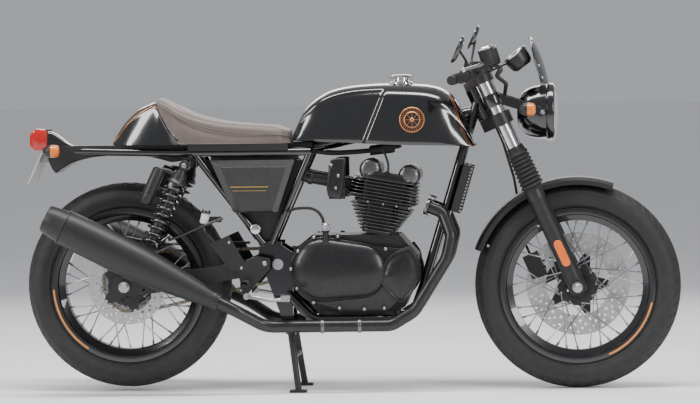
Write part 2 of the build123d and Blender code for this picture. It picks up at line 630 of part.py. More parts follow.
# Shock absorbers: damper, coils, top and bottom eyes and a reservoir behind
def shock():
    top, low = Vector(SHOCK_TOP[0], -SHOCK_Y, SHOCK_TOP[1]), Vector(SHOCK_LOW[0], -SHOCK_Y, SHOCK_LOW[1])
    length = (top - low).length
    lean = degrees(atan2(top.X - low.X, top.Z - low.Z))
    place = Location(tuple(low), (0, lean, 0))
    eye_r = 16.0
    coils = 9
    spring_low, spring_high = 62.0, length - 66.0
    step = (spring_high - spring_low) / coils
    profile = [(0, 12), (12, 12), (12, 48), (26, 48), (26, 56), (19, 58), (19, spring_low)]
    for k in range(coils):
        z = spring_low + k * step
        profile += [(26, z + 0.25 * step), (26, z + 0.65 * step), (19, z + 0.9 * step)]
    profile += [(26, spring_high + 2), (26, spring_high + 12), (20, length - 40), (12, length - 14), (0, length - 14)]
    body = spun(profile, place)
    body += cross(SHOCK_TOP[0], SHOCK_TOP[1], eye_r, -SHOCK_Y - 13, -SHOCK_Y + 13)
    body += cross(SHOCK_LOW[0], SHOCK_LOW[1], eye_r, -SHOCK_Y - 13, -SHOCK_Y + 13)
    pot = spun([(0, length - 150), (17, length - 150), (20, length - 144), (20, length - 34), (0, length - 30)],
               place * Pos(-50, 0, 0))
    neck = place * block((-50, 0), (-10, 10), (length - 62, length - 40))
    body += pot + neck
    body -= cross(SHOCK_TOP[0], SHOCK_TOP[1], 8.0 + SLIP, -SHOCK_Y - 40, -SHOCK_Y + 40)
    body -= cross(SHOCK_LOW[0], SHOCK_LOW[1], 7.0 + SLIP, -SHOCK_Y - 40, -SHOCK_Y + 40)
    return body


add("shocks", both(shock()))

# Crankcase with mounting lugs
case_outline = [(-178, 330), (-178, 438), (-120, 484), (150, 484), (206, 420), (200, 340), (168, 262), (130, 240),
                (-100, 240)]
case = plate(case_outline, -CASE_Y, CASE_Y)
lugs = []
for x in (-66.0, 124.0):
    lugs.append(block((x - 20, x + 20), (-CRADLE_Y, CRADLE_Y), (CRADLE_Z + TUBE_R + SEAT_GAP, 249)))
BAY_R = 52.0              # room round the front sprocket
SHAFT_R = 14.0
chain_bay = block((-260, OUTPUT_SHAFT[0] + BAY_R), (CHAIN_Y - 20, 200), (330, 460))
shaft = cross(*OUTPUT_SHAFT, SHAFT_R, 60, CHAIN_Y + 7)
add("crankcase", (case + lugs) - chain_bay + shaft)


# Engine covers: a flat-backed slab, a long egg-shaped dome behind and a round one ahead
COVER_T = 22.0
# centre x and z, radius
COVER_SLAB = [(-85.0, 375.0, 104.0), (150.0, 372.0, 68.0), (108.0, 272.0, 22.0), (-30.0, 268.0, 18.0)]
COVER_DOME = [(-85.0, 375.0, 98.0), (30.0, 372.0, 84.0)]
FRONT_DOME = (149.0, 369.0, 62.0)
DOME_DEPTH = 20.0
FRONT_DEPTH = 12.0


def hull_plate(circles, y_from, y_to, shrink=0.0):
    """A plate whose outline wraps several circles given as x, z and radius."""
    flat = Plane(origin=(0, y_from, 0), x_dir=(1, 0, 0), z_dir=(0, -1, 0))
    outline = make_hull(sum([Pos(x, z) * Circle(r - shrink) for x, z, r in circles], Sketch()).edges())
    return extrude(flat * outline, amount=y_from - y_to)


def engine_cover():
    low = -CASE_Y - SEAT_GAP
    face = low - COVER_T
    cover = hull_plate(COVER_SLAB, low, face)
    for share, shrink in ((0.4, 3.0), (0.8, 14.0), (1.0, 30.0)):
        cover += hull_plate(COVER_DOME, face + 1, face - share * DOME_DEPTH, shrink)
    x, z, r = FRONT_DOME
    cover += turned([(0, low), (r, low), (r, face), (r - 3, face - 0.5 * FRONT_DEPTH),
                     (r - 16, face - FRONT_DEPTH), (0, face - FRONT_DEPTH)], x, z)
    return cover


right = engine_cover()
left = engine_cover().mirror(Plane.XZ)
left -= cross(*OUTPUT_SHAFT, BAY_R, CASE_Y - 8, CHAIN_Y + 15)
left -= block((-260, OUTPUT_SHAFT[0]), (CASE_Y - 8, CHAIN_Y + 15), (330, 452))
add("engine_covers", Compound([right, left]))


# Barrels and head: stacked fins round two bores, rocker boxes on top
def engine_level(x, z):
    a = radians(LEAN)
    return (DECK[0] + x * cos(a) + z * sin(a), DECK[1] - x * sin(a) + z * cos(a))


ENGINE = Location((DECK[0], 0, DECK[1]), (0, LEAN, 0))
FIN_T = 3.0
FIN_PITCH = 10.5
FIN_Y = 128.0
barrel_core = block((-44, 44), (-108, 108), (-6, 100))
head_core = block((-62, 72), (-112, 112), (100, 178))
fins = []
for k in range(8):
    z = 14 + k * FIN_PITCH
    reach = 54 + 5.5 * k
    fins.append(block((-reach, reach + 4), (-FIN_Y + 6, FIN_Y - 6), (z, z + FIN_T)))
for k in range(6):
    z = 106 + k * FIN_PITCH
    fins.append(block((-110 + k, 112 + k), (-FIN_Y, FIN_Y), (z, z + FIN_T)))
rocker = block((-48, 64), (-104, 104), (178, 196))
domes = []
for x in (-50.0, 72.0):
    domes.append(Pos(x, 0, 196) * Cylinder(34.0, 212, rotation=(90, 0, 0)))
stack = barrel_core + head_core
for fin in fins:
    stack += fin
stack += rocker
for dome in domes:
    stack += dome
stack = ENGINE * stack
stack -= block((-200, 400), (-300, 300), (300, DECK[1]))
PORT_ROOT = Vector(182.0, -87.0, 591.0)
PORT_FACE = Vector(238.0, -95.0, 570.0)
stack += both(rod(PORT_ROOT, PORT_FACE, 24.0))
add("cylinders", stack)

# Silencer line: from the header joint up to the tail pipe
SILENCER_START = Vector(-400.0, -SILENCER_Y + 12, 286.0)
SILENCER_END = Vector(-928.0, -SILENCER_Y, 550.0)
SILENCER_DIR = (SILENCER_END - SILENCER_START).normalized()
INLET = 30.0              # header pushed this far into the silencer
OUTLET_R = 14.0


def header():
    """One bent pipe, from the port face to the silencer's inlet."""
    out = (PORT_FACE - PORT_ROOT).normalized()
    start = PORT_FACE + out * SEAT_GAP
    points = [start, start + out * 52, (314, -HEADER_Y, 480), (298, -HEADER_Y - 2, 410), (198, -HEADER_Y - 7, 250),
              (128, -HEADER_Y - 10, 207),
              (-258, -172, 207), SILENCER_START - SILENCER_DIR * 62, SILENCER_START + SILENCER_DIR * (INLET - SEAT_GAP)]
    return tube(points, HEADER_R, [40, 34, 100, 60, 60, 90, 90])


add("exhaust_headers", both(header()))


# Silencers: a long cone, a straight can and a pinched end
def silencer():
    length = (SILENCER_END - SILENCER_START).length
    place = Plane(origin=SILENCER_START, z_dir=SILENCER_DIR).location
    bore = HEADER_R + SLIP
    return spun([(0, INLET), (bore, INLET), (bore, 0), (25, 0), (30, 40), (56, 250), (58, 330), (57, length - 110),
                 (52, length - 62), (51, length - 58), (43, length - 2), (40, length), (37, length - 8), (OUTLET_R, length - 8),
                 (OUTLET_R, length - 48), (0, length - 48)],
                place)


add("silencers", both(silencer()))

# Throttle bodies and rubber stubs from the head to the airbox


def intake():
    head_end = engine_level(-62.3, 140)
    stub = rod((head_end[0] - 6, -56, head_end[1]), (-149 + SEAT_GAP, -52, 668), 20.0)
    cap = block((-64, -14), (-108, -88), (596, 702))
    link = block((-50, -28), (-90, -56), (636, 672))
    return stub + cap + link


stubs = both(intake())
add("throttle_bodies", stubs - parts["cylinders"])

# Airbox and battery case between the frame tubes
AIRBOX_Y = 55.8
airbox = plate([(-149, 716), (-160, 640), (-236, 470), (-300, 470), (-402, 620), (-452, 716)], -AIRBOX_Y, AIRBOX_Y)
add("airbox", airbox)


# Side panels: a shallow tapered tray
def side_panel():
    low, high = -118.0, -108.0
    base = plate([(-431, 718), (-169, 718), (-222, 560), (-362, 560)], -106.3, high - 2)
    raised = plate([(-400, 697), (-200, 697), (-240, 561), (-344, 561)], high - 2, low - 2)
    for x in (-392.0, -206.0):
        raised += block((x - 10, x + 10), (high - 2, -RAIL_Y - RAIL_R - SEAT_GAP), (705, 747))
    return base + raised


add("side_panels", both(side_panel()))

# Oil cooler: finned block ahead of the down tubes
COOLER_RISE = 12.0        # its lower edge above the bend of the down tubes
COOLER = (30.0, 88.0, 150.0)          # thickness, half width, height
down = Vector(*DOWN_HIGH) - Vector(*DOWN_LOW)
cooler_face = TUBE_R + SEAT_GAP
cooler = Location((DOWN_LOW[0], 0, DOWN_LOW[2]), (0, degrees(atan2(down.X, down.Z)), 0)) * block(
    (cooler_face, cooler_face + COOLER[0]), (-COOLER[1], COOLER[1]), (COOLER_RISE, COOLER_RISE + COOLER[2]))
add("oil_cooler", cooler)

# Fuel tank: sections across the machine, lofted, with a tunnel for the backbone
CAP_AT = (159.0, 978.0)   # x, and z of the cap's top
CAP_R = 38.0
# x, bottom z, top z, half width at the bottom, half width at the shoulder, crown radius
TANK_SECTIONS = [
    (-181, 776, 790, 60, 50, 6),
    (-162, 775, 836, 76, 66, 26),
    (-146, 774, 867, 84, 76, 36),
    (-124, 773, 892, 92, 86, 46),
    (-99, 772, 911, 98, 94, 54),
    (-59, 770, 931, 104, 100, 62),
    (0, 768, 944, 109, 105, 68),
    (70, 765, 950, 112, 108, 70),
    (104, 763, 951, 130, 118, 72),
    (227, 759, 947, 134, 118, 72),
    (274, 758, 939, 131, 112, 66),
    (305, 757, 923, 126, 104, 58),
    (330, 756, 898, 120, 96, 48),
    (352, 755, 860, 113, 88, 36),
    (373, 754, 804, 104, 82, 20),
    (387, 753, 762, 96, 84, 3),
]


def tank_section(x, bottom, top, low_half, high_half, crown):
    """Straight flanks leaning in to a rounded crown."""
    outline = make_face(Polyline((-low_half, bottom), (-high_half, top), (high_half, top), (low_half, bottom),
                                 close=True))
    rounded = fillet(outline.vertices().sort_by(Axis.Y)[2:], crown * 0.8)
    return Plane(origin=(x, 0, 0), x_dir=(0, 1, 0), z_dir=(1, 0, 0)) * rounded


tank = loft([tank_section(*row) for row in TANK_SECTIONS], ruled=True)
tunnel_r = BACKBONE_R + 7
run = Vector(*BACKBONE_HIGH) - Vector(*BACKBONE_LOW)
ahead, astern = Vector(*BACKBONE_HIGH) + run * 0.05, Vector(*BACKBONE_LOW) - run * 0.25
tunnel = rod(ahead, astern, tunnel_r) + plate(
    [(ahead.X, ahead.Z), (astern.X, astern.Z), (astern.X, 600), (ahead.X, 600)], -tunnel_r, tunnel_r)
tank -= tunnel
tank -= plate([(324, 740), (410, 740), (410, 900), (370, 900)], -66, 66)
tank += both(block((-140, -116), (-60, -34), (RAIL_Z + 10 + SEAT_GAP, 790)))
add("fuel_tank", tank)
cap = spun([(0, -32), (CAP_R, -32), (CAP_R, -22), (CAP_R - 4, -19), (CAP_R - 14, -17), (CAP_R - 14, -10),
            (CAP_R - 6, -8), (CAP_R - 4, -4), (CAP_R - 8, 0), (0, 0)], Pos(CAP_AT[0], 0, CAP_AT[1]))
add("fuel_cap", cap - Pos(0, 0, SEAT_GAP) * tank)

# Seat: padded saddle with a raised back, as rounded sections from the tank to the hump
# x, bottom z, top z, half width
SEAT_SECTIONS = [(-187, 768, 806, 66), (-215, 768, 818, 88), (-300, 768, 825, 108), (-411, 768, 840, 116),
                 (-480, 768, 857, 118), (-528, 768, 879, 116)]
HUMP_SECTIONS = [(-528, 768, 879, 116), (-562, 802, 903, 110), (-591, 868, 911, 102), (-606, 894, 904, 92)]


def pad_section(x, bottom, top, half):
    height = top - bottom
    shape = RectangleRounded(2 * half, height, min(26.0, 0.42 * height))
    return Plane(origin=(x, 0, (bottom + top) / 2), x_dir=(0, 1, 0), z_dir=(1, 0, 0)) * shape


saddle = loft([pad_section(*row) for row in SEAT_SECTIONS], ruled=True)
saddle += loft([pad_section(*row) for row in HUMP_SECTIONS], ruled=True)
add("seat", saddle)

# Seat base: a shallow shell that sits over the rails and carries the saddle
BASE_Y = RAIL_Y + RAIL_R + SEAT_GAP
BASE_T = 4.0
base_x = (-499.7, -190.0)
base = block(base_x, (-BASE_Y - BASE_T, BASE_Y + BASE_T), (RAIL_Z + 5.6, 768 - SEAT_GAP))
base -= block((-600, -100), (-BASE_Y, BASE_Y), (RAIL_Z - 20, RAIL_Z + RAIL_R + SEAT_GAP))
add("seat_base", base)

# Tail cowl behind the seat hump, and the tray under it
COWL_SECTIONS = [(-529, 767.6, 800, 112), (-562, 767.6, 836, 112), (-606, 767.6, 902, 108), (-640, 767.6, 892, 100),
                 (-680, 767.6, 862, 86), (-716, 767.6, 822, 68), (-742, 767.6, 786, 54)]
cowl = loft([pad_section(*row) for row in COWL_SECTIONS], ruled=True)
seat_room = plate([(-500, 700), (-527.7, 767.6), (-561.7, 800.6), (-591.5, 866.5), (-607, 892), (-607.6, 960), (-500, 960)],
                  -200, 200)
add("tail_cowl", cowl - seat_room)

tray_outline = [(-500, 767.3), (-945, 767.3), (-945, 752), (-935, 700), (-860, 702), (-780, 712), (-640, 722),
                (-560, 712), (-500, 726)]
tray = plate(tray_outline, -TRAY_Y, TRAY_Y)
add("tail_tray", tray - cross(-860, RAIL_Z + 8, 9.3, -80, 80) - cross(-484, RAIL_Z, 10.3, -100, 100))

lamp = plate([(-945.3, 820), (-985, 822), (-1004, 800), (-1004, 764), (-985, 750), (-945.3, 753)], -48, 48)
add("tail_lamp", lamp)
plate_low, plate_high = (-1004.0, 652.0), (-962.0, 744.0)
plate_board = plate([plate_high, plate_low, (plate_low[0] + 3, plate_low[1] - 1), (plate_high[0] + 3, plate_high[1] - 1)],
                    -90, 90)
plate_board += plate([(-961.5, 742), (-943.4, 742), (-938.4, 716), (-973.5, 716)], -30, 30)
add("number_plate", plate_board)

# Chain: two side-plate bands round both sprockets, pins and rollers on the straight runs
CHAIN_H = 12.0
PLATE_GAP = SPROCKET_T / 2 + SEAT_GAP
CHAIN_HALF = 9.0
ROLLER_R = 4.5
front_pitch_r = CHAIN_PITCH / 2 / sin(pi / FRONT_TEETH)


def chain_loop(grow):
    """The belt outline round both sprockets, grown or shrunk from the pitch line."""
    ax, az = REAR_AXLE
    bx, bz = OUTPUT_SHAFT
    span = hypot(bx - ax, bz - az)
    line = atan2(bz - az, bx - ax)
    tilt = asin_safe((PITCH_R - front_pitch_r) / span)
    ra, rb = PITCH_R + grow, front_pitch_r + grow
    up, down = line + pi / 2 - tilt, line - pi / 2 + tilt
    y = CHAIN_Y

    def on(cx, cz, r, angle):
        return (cx + r * cos(angle), y, cz + r * sin(angle))

    edges = [
        Line(on(ax, az, ra, up), on(bx, bz, rb, up)),
        ThreePointArc(on(bx, bz, rb, up), on(bx, bz, rb, line), on(bx, bz, rb, down)),
        Line(on(bx, bz, rb, down), on(ax, az, ra, down)),
        ThreePointArc(on(ax, az, ra, down), on(ax, az, ra, line + pi), on(ax, az, ra, up)),
    ]
    return make_face(Wire(edges))


def asin_safe(v):
    return atan2(v, sqrt(1 - v * v))


band = chain_loop(CHAIN_H / 2) - chain_loop(-CHAIN_H / 2)
bands = extrude(band, amount=CHAIN_HALF, both=True) - extrude(chain_loop(30), amount=PLATE_GAP, both=True)
rollers = extrude(chain_loop(ROLLER_R) - chain_loop(-ROLLER_R), amount=PLATE_GAP, both=True)
for (x, z), pitch_r in ((REAR_AXLE, PITCH_R), (OUTPUT_SHAFT, front_pitch_r)):
    rollers -= cross(x, z, pitch_r + 10, CHAIN_Y - 20, CHAIN_Y + 20)
add("chain", bands, rollers)
pinion = sprocket(FRONT_TEETH, front_pitch_r, SPROCKET_T) - cross(0, 0, SHAFT_R + SLIP, -20, 20)
add("front_sprocket", Pos(OUTPUT_SHAFT[0], CHAIN_Y, OUTPUT_SHAFT[1]) * pinion)

guard = plate([(-330, 450), (-690, 446), (-716, 440), (-716, 446), (-690, 452), (-330, 458)], CHAIN_Y - 10, CHAIN_Y + 12)
tab = block((-420, -396), (SWING_IN - 5, SWING_IN - SEAT_GAP), (366, 452))
add("chain_guard", guard + tab)


# Footrests: a hanger plate with heel guard, peg and pedal on each side
HANGER_Y = 140.0          # inner face of the footrest hanger, outboard of the swingarm
HANGER_T = 6.0
PEG_AT = (-318.0, 338.0)
PEDAL_AT = (-318.0, 300.0)


def footrest():
    low, high = -HANGER_Y, -HANGER_Y - HANGER_T
    heel = plate([(-432, 462), (-372, 488), (-312, 384), (-366, 376)], low, high)
    stay = plate([(-352, 396), (-286, 424), (-246, 416), (-246, 384), (-296, 330), (-330, 290), (-340, 350)], low, high)
    boss = cross(-262, 400, 12.0, low, -PLATE_Y - PLATE_T - SEAT_GAP)
    peg = cross(*PEG_AT, 11.0, low, -HANGER_Y - 88)
    return heel + stay + boss + peg


def pedal():
    x, z = PEDAL_AT
    high = -HANGER_Y - HANGER_T - SEAT_GAP
    boss = cross(x, z, 10.0, high - 14, high)
    arm = tube([(x, high - 8, z), (-240, -168, 288), (-196, -180, 292)], 6.0, 40)
    pad = block((-208, -180), (-212, -172), (286, 304))
    return arm + pad + boss


add("footrests", both(footrest()))
add("foot_controls", both(pedal()))

# Rear brake: caliper over the disc, carrier on the axle
carrier = plate([behind(-23, -24), behind(23, -24), behind(59, 89), behind(19, 121), behind(-21, 109)], -100, -92)
caliper_x, caliper_z = behind(22, 116)
caliper = block((caliper_x - 35, caliper_x + 35), (-104, -58), (caliper_z - 33, caliper_z + 33))
caliper = caliper.rotate(Axis((caliper_x, 0, caliper_z), (0, 1, 0)), 12)
slot = cross(*REAR_AXLE, REAR_DISC_R + 6, -REAR_DISC_Y - DISC_T - 5, -REAR_DISC_Y + 5)
hole = cross(*REAR_AXLE, 15.0 + SLIP, -200, 200)
add("rear_brake", caliper + carrier - slot - hole)

# Centre stand: two splayed legs outside the pivot plates, feet a little ahead of the pivot
FOOT_X = CENTRE_STAND_PIVOT[0] + 26.0
STAND_LEG_Y = 84.0


def stand_leg():
    leg = rod((CENTRE_STAND_PIVOT[0], -STAND_LEG_Y, CENTRE_STAND_PIVOT[1]), (FOOT_X, -120, 5), 10.0)
    leg = leg - block((-400, 0), (-300, 0), (-20, 0))
    foot = block((FOOT_X - 26, FOOT_X + 26), (-142, -104), (0, 8))
    collar = cross(*CENTRE_STAND_PIVOT, 14.0, -STAND_LEG_Y - 8, -PLATE_Y - PLATE_T - SEAT_GAP)
    return leg + foot + collar


stand = cross(*CENTRE_STAND_PIVOT, STAND_PIN_R, -STAND_LEG_Y, STAND_LEG_Y)
stand += stand_leg() + stand_leg().mirror(Plane.XZ)
stand += cross(CENTRE_STAND_PIVOT[0] + 12, 108, 8.0, -96, 96)
add("centre_stand", stand)

# Side stand, folded up along the left cradle tube
SIDE_STAND_L = 160.0
px, py, pz = SIDE_STAND_PIVOT
eye_end = SIDE_AXIS * SIDE_BOSS
stand = rod((px, py, pz), (px - SIDE_STAND_L, py + 14, pz - 4), 9.0)
stand += block((px - SIDE_STAND_L - 16, px - SIDE_STAND_L + 14), (py + 8, py + 28), (pz - 20, pz - 2))
stand += rod(Vector(px, py, pz) - eye_end, Vector(px, py, pz) + eye_end, 12.0)
stand -= rod(Vector(px, py, pz) - eye_end * 2, Vector(px, py, pz) + eye_end * 2, SIDE_PIN_R + RUN)
add("side_stand", stand)

os.makedirs("parts", exist_ok=True)
for name, shape in parts.items():
    export_step(shape, f"parts/{name}.step")
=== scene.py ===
import bpy
import bmesh
import json
from math import sin, cos, pi, radians, atan2
from mathutils import Vector, Matrix, Quaternion


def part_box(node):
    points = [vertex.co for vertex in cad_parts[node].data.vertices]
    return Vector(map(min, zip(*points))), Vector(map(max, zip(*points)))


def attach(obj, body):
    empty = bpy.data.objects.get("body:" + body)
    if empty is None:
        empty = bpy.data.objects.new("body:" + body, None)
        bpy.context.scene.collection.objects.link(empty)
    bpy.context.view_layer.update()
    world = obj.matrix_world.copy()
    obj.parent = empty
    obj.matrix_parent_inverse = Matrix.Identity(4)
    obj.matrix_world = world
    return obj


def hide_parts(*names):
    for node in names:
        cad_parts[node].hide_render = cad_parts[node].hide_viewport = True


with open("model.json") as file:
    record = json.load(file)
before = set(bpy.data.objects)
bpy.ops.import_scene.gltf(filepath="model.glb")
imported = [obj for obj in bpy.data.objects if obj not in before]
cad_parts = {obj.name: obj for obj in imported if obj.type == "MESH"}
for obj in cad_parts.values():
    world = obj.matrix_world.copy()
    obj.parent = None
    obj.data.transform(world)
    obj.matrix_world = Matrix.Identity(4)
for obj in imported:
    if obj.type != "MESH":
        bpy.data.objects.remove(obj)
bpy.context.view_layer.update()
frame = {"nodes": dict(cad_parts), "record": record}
NODES = frame["nodes"]
SCENE = bpy.context.scene


def add_object(name, data):
    obj = bpy.data.objects.new(name, data)
    SCENE.collection.objects.link(obj)
    return obj


# Camera: a long lens far off the right side, a little ahead of the middle
DISTANCE = 10.8
YAW = radians(4.0)
EYE_Z = 1.0
AIM = Vector((-0.0065, 0.0, 0.582))
LENS = 178.5
ROLL = radians(-0.7)
cam_data = bpy.data.cameras.new("camera")
cam_data.lens = LENS
cam_data.sensor_width = 36.0
camera = add_object("camera", cam_data)
camera.location = (DISTANCE * sin(YAW), -DISTANCE * cos(YAW), EYE_Z)
look = (AIM - camera.location).to_track_quat("-Z", "Y")
camera.rotation_euler = (look @ Quaternion((0, 0, 1), ROLL)).to_euler()
SCENE.camera = camera

# Soft studio light: name, place, aim, size, power
LIGHTS = [
    ("top_box", (0.0, -0.5, 3.3), (0, 0, 0.5), (3.6, 0.7), 150),
    ("front_box", (3.4, -3.0, 2.2), (0.3, 0, 0.6), (0.7, 2.4), 90),
    ("rear_box", (-3.4, -2.4, 2.2), (-0.4, 0, 0.6), (0.7, 2.2), 80),
    ("far_box", (0.0, 3.6, 2.4), (0, 0, 0.6), (4.0, 1.2), 60),
]
WORLD_COLOUR, WORLD_STRENGTH = (0.80, 0.82, 0.85, 1), 0.50
for name, place, aim, size, power in LIGHTS:
    data = bpy.data.lights.new(name, "AREA")
    data.shape = "RECTANGLE"
    data.size, data.size_y = size
    data.energy = power
    lamp = add_object(name, data)
    lamp.location = place
    lamp.rotation_euler = (Vector(aim) - Vector(place)).to_track_quat("-Z", "Y").to_euler()
world = bpy.data.worlds.new("world")
SCENE.world = world
world.use_nodes = True
world.node_tree.nodes["Background"].inputs[0].default_value = WORLD_COLOUR
world.node_tree.nodes["Background"].inputs[1].default_value = WORLD_STRENGTH


# Materials
def finish(name, colour, rough, metal=0.0, grain=300.0, bump=0.05, spread=0.12, tint=0.15,
           coat=0.0, alpha=1.0):
    """A procedural surface: noise varies its roughness, shade and height."""
    mat = bpy.data.materials.new(name)
    mat.use_nodes = True
    tree = mat.node_tree
    shader = tree.nodes["Principled BSDF"]
    new, link = tree.nodes.new, tree.links.new
    coord = new("ShaderNodeTexCoord")
    fine, wide = new("ShaderNodeTexNoise"), new("ShaderNodeTexNoise")
    fine.inputs["Scale"].default_value = grain
    fine.inputs["Detail"].default_value = 4.0
    wide.inputs["Scale"].default_value = grain * 0.08
    for noise in (fine, wide):
        link(coord.outputs["Object"], noise.inputs["Vector"])
    rough_map = new("ShaderNodeMapRange")
    rough_map.inputs["To Min"].default_value = max(0.02, rough - spread)
    rough_map.inputs["To Max"].default_value = min(1.0, rough + spread)
    link(fine.outputs["Fac"], rough_map.inputs["Value"])
    link(rough_map.outputs["Result"], shader.inputs["Roughness"])
    ramp = new("ShaderNodeValToRGB")
    for stop, at, shade in zip(ramp.color_ramp.elements, (0.3, 0.7), (1 - tint, 1 + tint)):
        stop.position = at
        stop.color = (*[min(1, c * shade) for c in colour], 1)
    link(wide.outputs["Fac"], ramp.inputs["Fac"])
    link(ramp.outputs["Color"], shader.inputs["Base Color"])
    if bump:
        bumper = new("ShaderNodeBump")
        bumper.inputs["Strength"].default_value = bump
        bumper.inputs["Distance"].default_value = 0.001
        link(fine.outputs["Fac"], bumper.inputs["Height"])
        link(bumper.outputs["Normal"], shader.inputs["Normal"])
    for socket, value in (("Metallic", metal), ("Specular IOR Level", 0.5), ("Coat Weight", coat),
                          ("Coat Roughness", 0.03), ("Alpha", alpha)):
        shader.inputs[socket].default_value = value
    return mat


# name, colour, roughness, metal, grain, bump, spread, tint, coat
FINISHES = [
    ("gloss_black", (0.004, 0.004, 0.005), 0.18, 0.0, 900, 0.0, 0.02, 0.1, 1.0),
    ("satin_black", (0.012, 0.012, 0.013), 0.42, 0.0, 500, 0.06, 0.08, 0.15, 0.0),
    ("matt_black", (0.011, 0.011, 0.011), 0.62, 0.0, 700, 0.10, 0.10, 0.2, 0.0),
    ("engine_black", (0.016, 0.016, 0.017), 0.48, 0.25, 900, 0.22, 0.10, 0.2, 0.0),
    ("rubber_black", (0.010, 0.010, 0.010), 0.72, 0.0, 600, 0.15, 0.10, 0.2, 0.0),
    ("tyre_rubber", (0.014, 0.014, 0.0145), 0.66, 0.0, 500, 0.20, 0.12, 0.25, 0.0),
    ("rim_black", (0.006, 0.006, 0.007), 0.25, 0.0, 700, 0.0, 0.04, 0.1, 0.7),
    ("steel", (0.46, 0.46, 0.47), 0.30, 1.0, 700, 0.05, 0.08, 0.1, 0.0),
    ("disc_steel", (0.50, 0.49, 0.48), 0.34, 1.0, 1200, 0.10, 0.10, 0.1, 0.0),
    ("chrome", (0.80, 0.80, 0.80), 0.07, 1.0, 400, 0.0, 0.02, 0.03, 0.0),
    ("spoke_steel", (0.32, 0.32, 0.33), 0.30, 1.0, 700, 0.0, 0.08, 0.1, 0.0),
    ("hub_black", (0.02, 0.02, 0.021), 0.40, 0.6, 700, 0.08, 0.08, 0.15, 0.0),
    ("amber", (0.70, 0.17, 0.008), 0.14, 0.0, 400, 0.0, 0.03, 0.08, 0.6),
    ("red_lens", (0.45, 0.008, 0.006), 0.14, 0.0, 400, 0.0, 0.03, 0.08, 0.6),
    ("copper", (0.55, 0.22, 0.08), 0.30, 0.8, 600, 0.0, 0.05, 0.1, 0.4),
    ("gold", (0.62, 0.40, 0.12), 0.32, 0.8, 600, 0.0, 0.05, 0.1, 0.2),
    ("orange", (0.75, 0.24, 0.03), 0.35, 0.0, 600, 0.0, 0.05, 0.1, 0.3),
    ("leather", (0.125, 0.098, 0.087), 0.50, 0.0, 700, 0.35, 0.06, 0.07, 0.0),
    ("chain_steel", (0.25, 0.20, 0.13), 0.38, 1.0, 700, 0.05, 0.08, 0.2, 0.0),
    ("bright_metal", (0.62, 0.62, 0.63), 0.22, 1.0, 900, 0.04, 0.06, 0.08, 0.0),
    ("reflector_orange", (0.85, 0.16, 0.015), 0.22, 0.0, 500, 0.0, 0.04, 0.1, 0.5),
    ("panel_satin", (0.045, 0.045, 0.046), 0.40, 0.45, 900, 0.0, 0.05, 0.1, 0.35),
    ("plate_grey", (0.50, 0.50, 0.50), 0.5, 0.0, 500, 0.05, 0.08, 0.05, 0.0),
    ("rocker_metal", (0.15, 0.15, 0.15), 0.34, 0.95, 900, 0.08, 0.06, 0.12, 0.0),
    ("pipe_satin", (0.035, 0.035, 0.036), 0.30, 0.6, 900, 0.05, 0.06, 0.15, 0.0),
    ("cover_black", (0.022, 0.022, 0.023), 0.32, 0.55, 900, 0.06, 0.06, 0.15, 0.15),
    ("fin_edge", (0.17, 0.17, 0.17), 0.30, 0.95, 900, 0.10, 0.08, 0.15, 0.0),
    ("pipe_black", (0.014, 0.014, 0.0145), 0.46, 0.15, 900, 0.08, 0.06, 0.15, 0.0),
    ("dial_white", (0.55, 0.55, 0.52), 0.45, 0.0, 600, 0.0, 0.05, 0.05, 0.0),
    ("lamp_glass", (0.80, 0.82, 0.84), 0.05, 0.0, 300, 0.0, 0.01, 0.02, 0.5, 0.30),
]
MATS = {row[0]: finish(*row) for row in FINISHES}
SLOT_FINISH = {
    "tyre": "tyre_rubber", "rim": "rim_black", "hub": "hub_black", "disc": "disc_steel",
    "sprocket": "steel", "axle": "steel", "fork": "satin_black", "gaiter": "rubber_black",
    "black_part": "satin_black", "black_frame": "gloss_black", "lamp_glass": "lamp_glass",
    "clock": "satin_black", "screen": "gloss_black", "bar": "satin_black", "control": "matt_black",
    "mirror": "satin_black", "indicator": "amber", "caliper": "satin_black", "hose": "rubber_black",
    "swingarm": "satin_black", "shock": "satin_black", "engine": "engine_black",
    "exhaust": "pipe_satin", "intake": "engine_black", "cooler": "matt_black",
    "tank_paint": "gloss_black", "cap": "chrome", "seat": "leather", "tail_lamp": "red_lens",
    "board": "plate_grey", "chain": "chain_steel", "stand": "satin_black",
}
for part in frame["record"]["subparts"]:
    mesh = NODES[part["node"]].data
    mesh.materials.clear()
    mesh.materials.append(MATS[SLOT_FINISH[part["material_slot"]]])

# Driving places, in millimetres like every size below
MM = 0.001
SIDES = (-1, 1)


def limits(node):
    """The low and high corner of a solid's box."""
    low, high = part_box(node)
    return Vector(low) / MM, Vector(high) / MM


def wheel_place(node):
    """The middle of a tyre, and its radius."""
    low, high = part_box(node)
    return (Vector(low) + Vector(high)) / 2 / MM, (Vector(high) / MM - Vector(low) / MM).x / 2


FRONT_AXLE, FRONT_TYRE_R = wheel_place("front_tyre")
REAR_AXLE, REAR_TYRE_R = wheel_place("rear_tyre")
RAKE = radians(24.0)
FORK_OFFSET = 40.0
STEER_X = FRONT_AXLE.x - FORK_OFFSET * cos(RAKE)
STEER_Z = FRONT_AXLE.z - FORK_OFFSET * sin(RAKE)
LEG_Y = 102.5


def fork_point(x, y, z):
    """A point of the fork frame, in the machine's axes."""
    return Vector((STEER_X + x * cos(RAKE) - z * sin(RAKE), y, STEER_Z + x * sin(RAKE) + z * cos(RAKE)))


# Shape helpers: every point is in millimetres until a batch is built
def turned(at, angle, axis="Y"):
    """A place at a point, turned about one axis."""
    return Matrix.Translation(at) @ Matrix.Rotation(angle, 4, axis)


def along(at, direction):
    """A place at a point with its z axis along a direction."""
    turn = Vector(direction).to_track_quat("Z", "Y").to_matrix().to_4x4()
    return Matrix.Translation(Vector(at)) @ turn


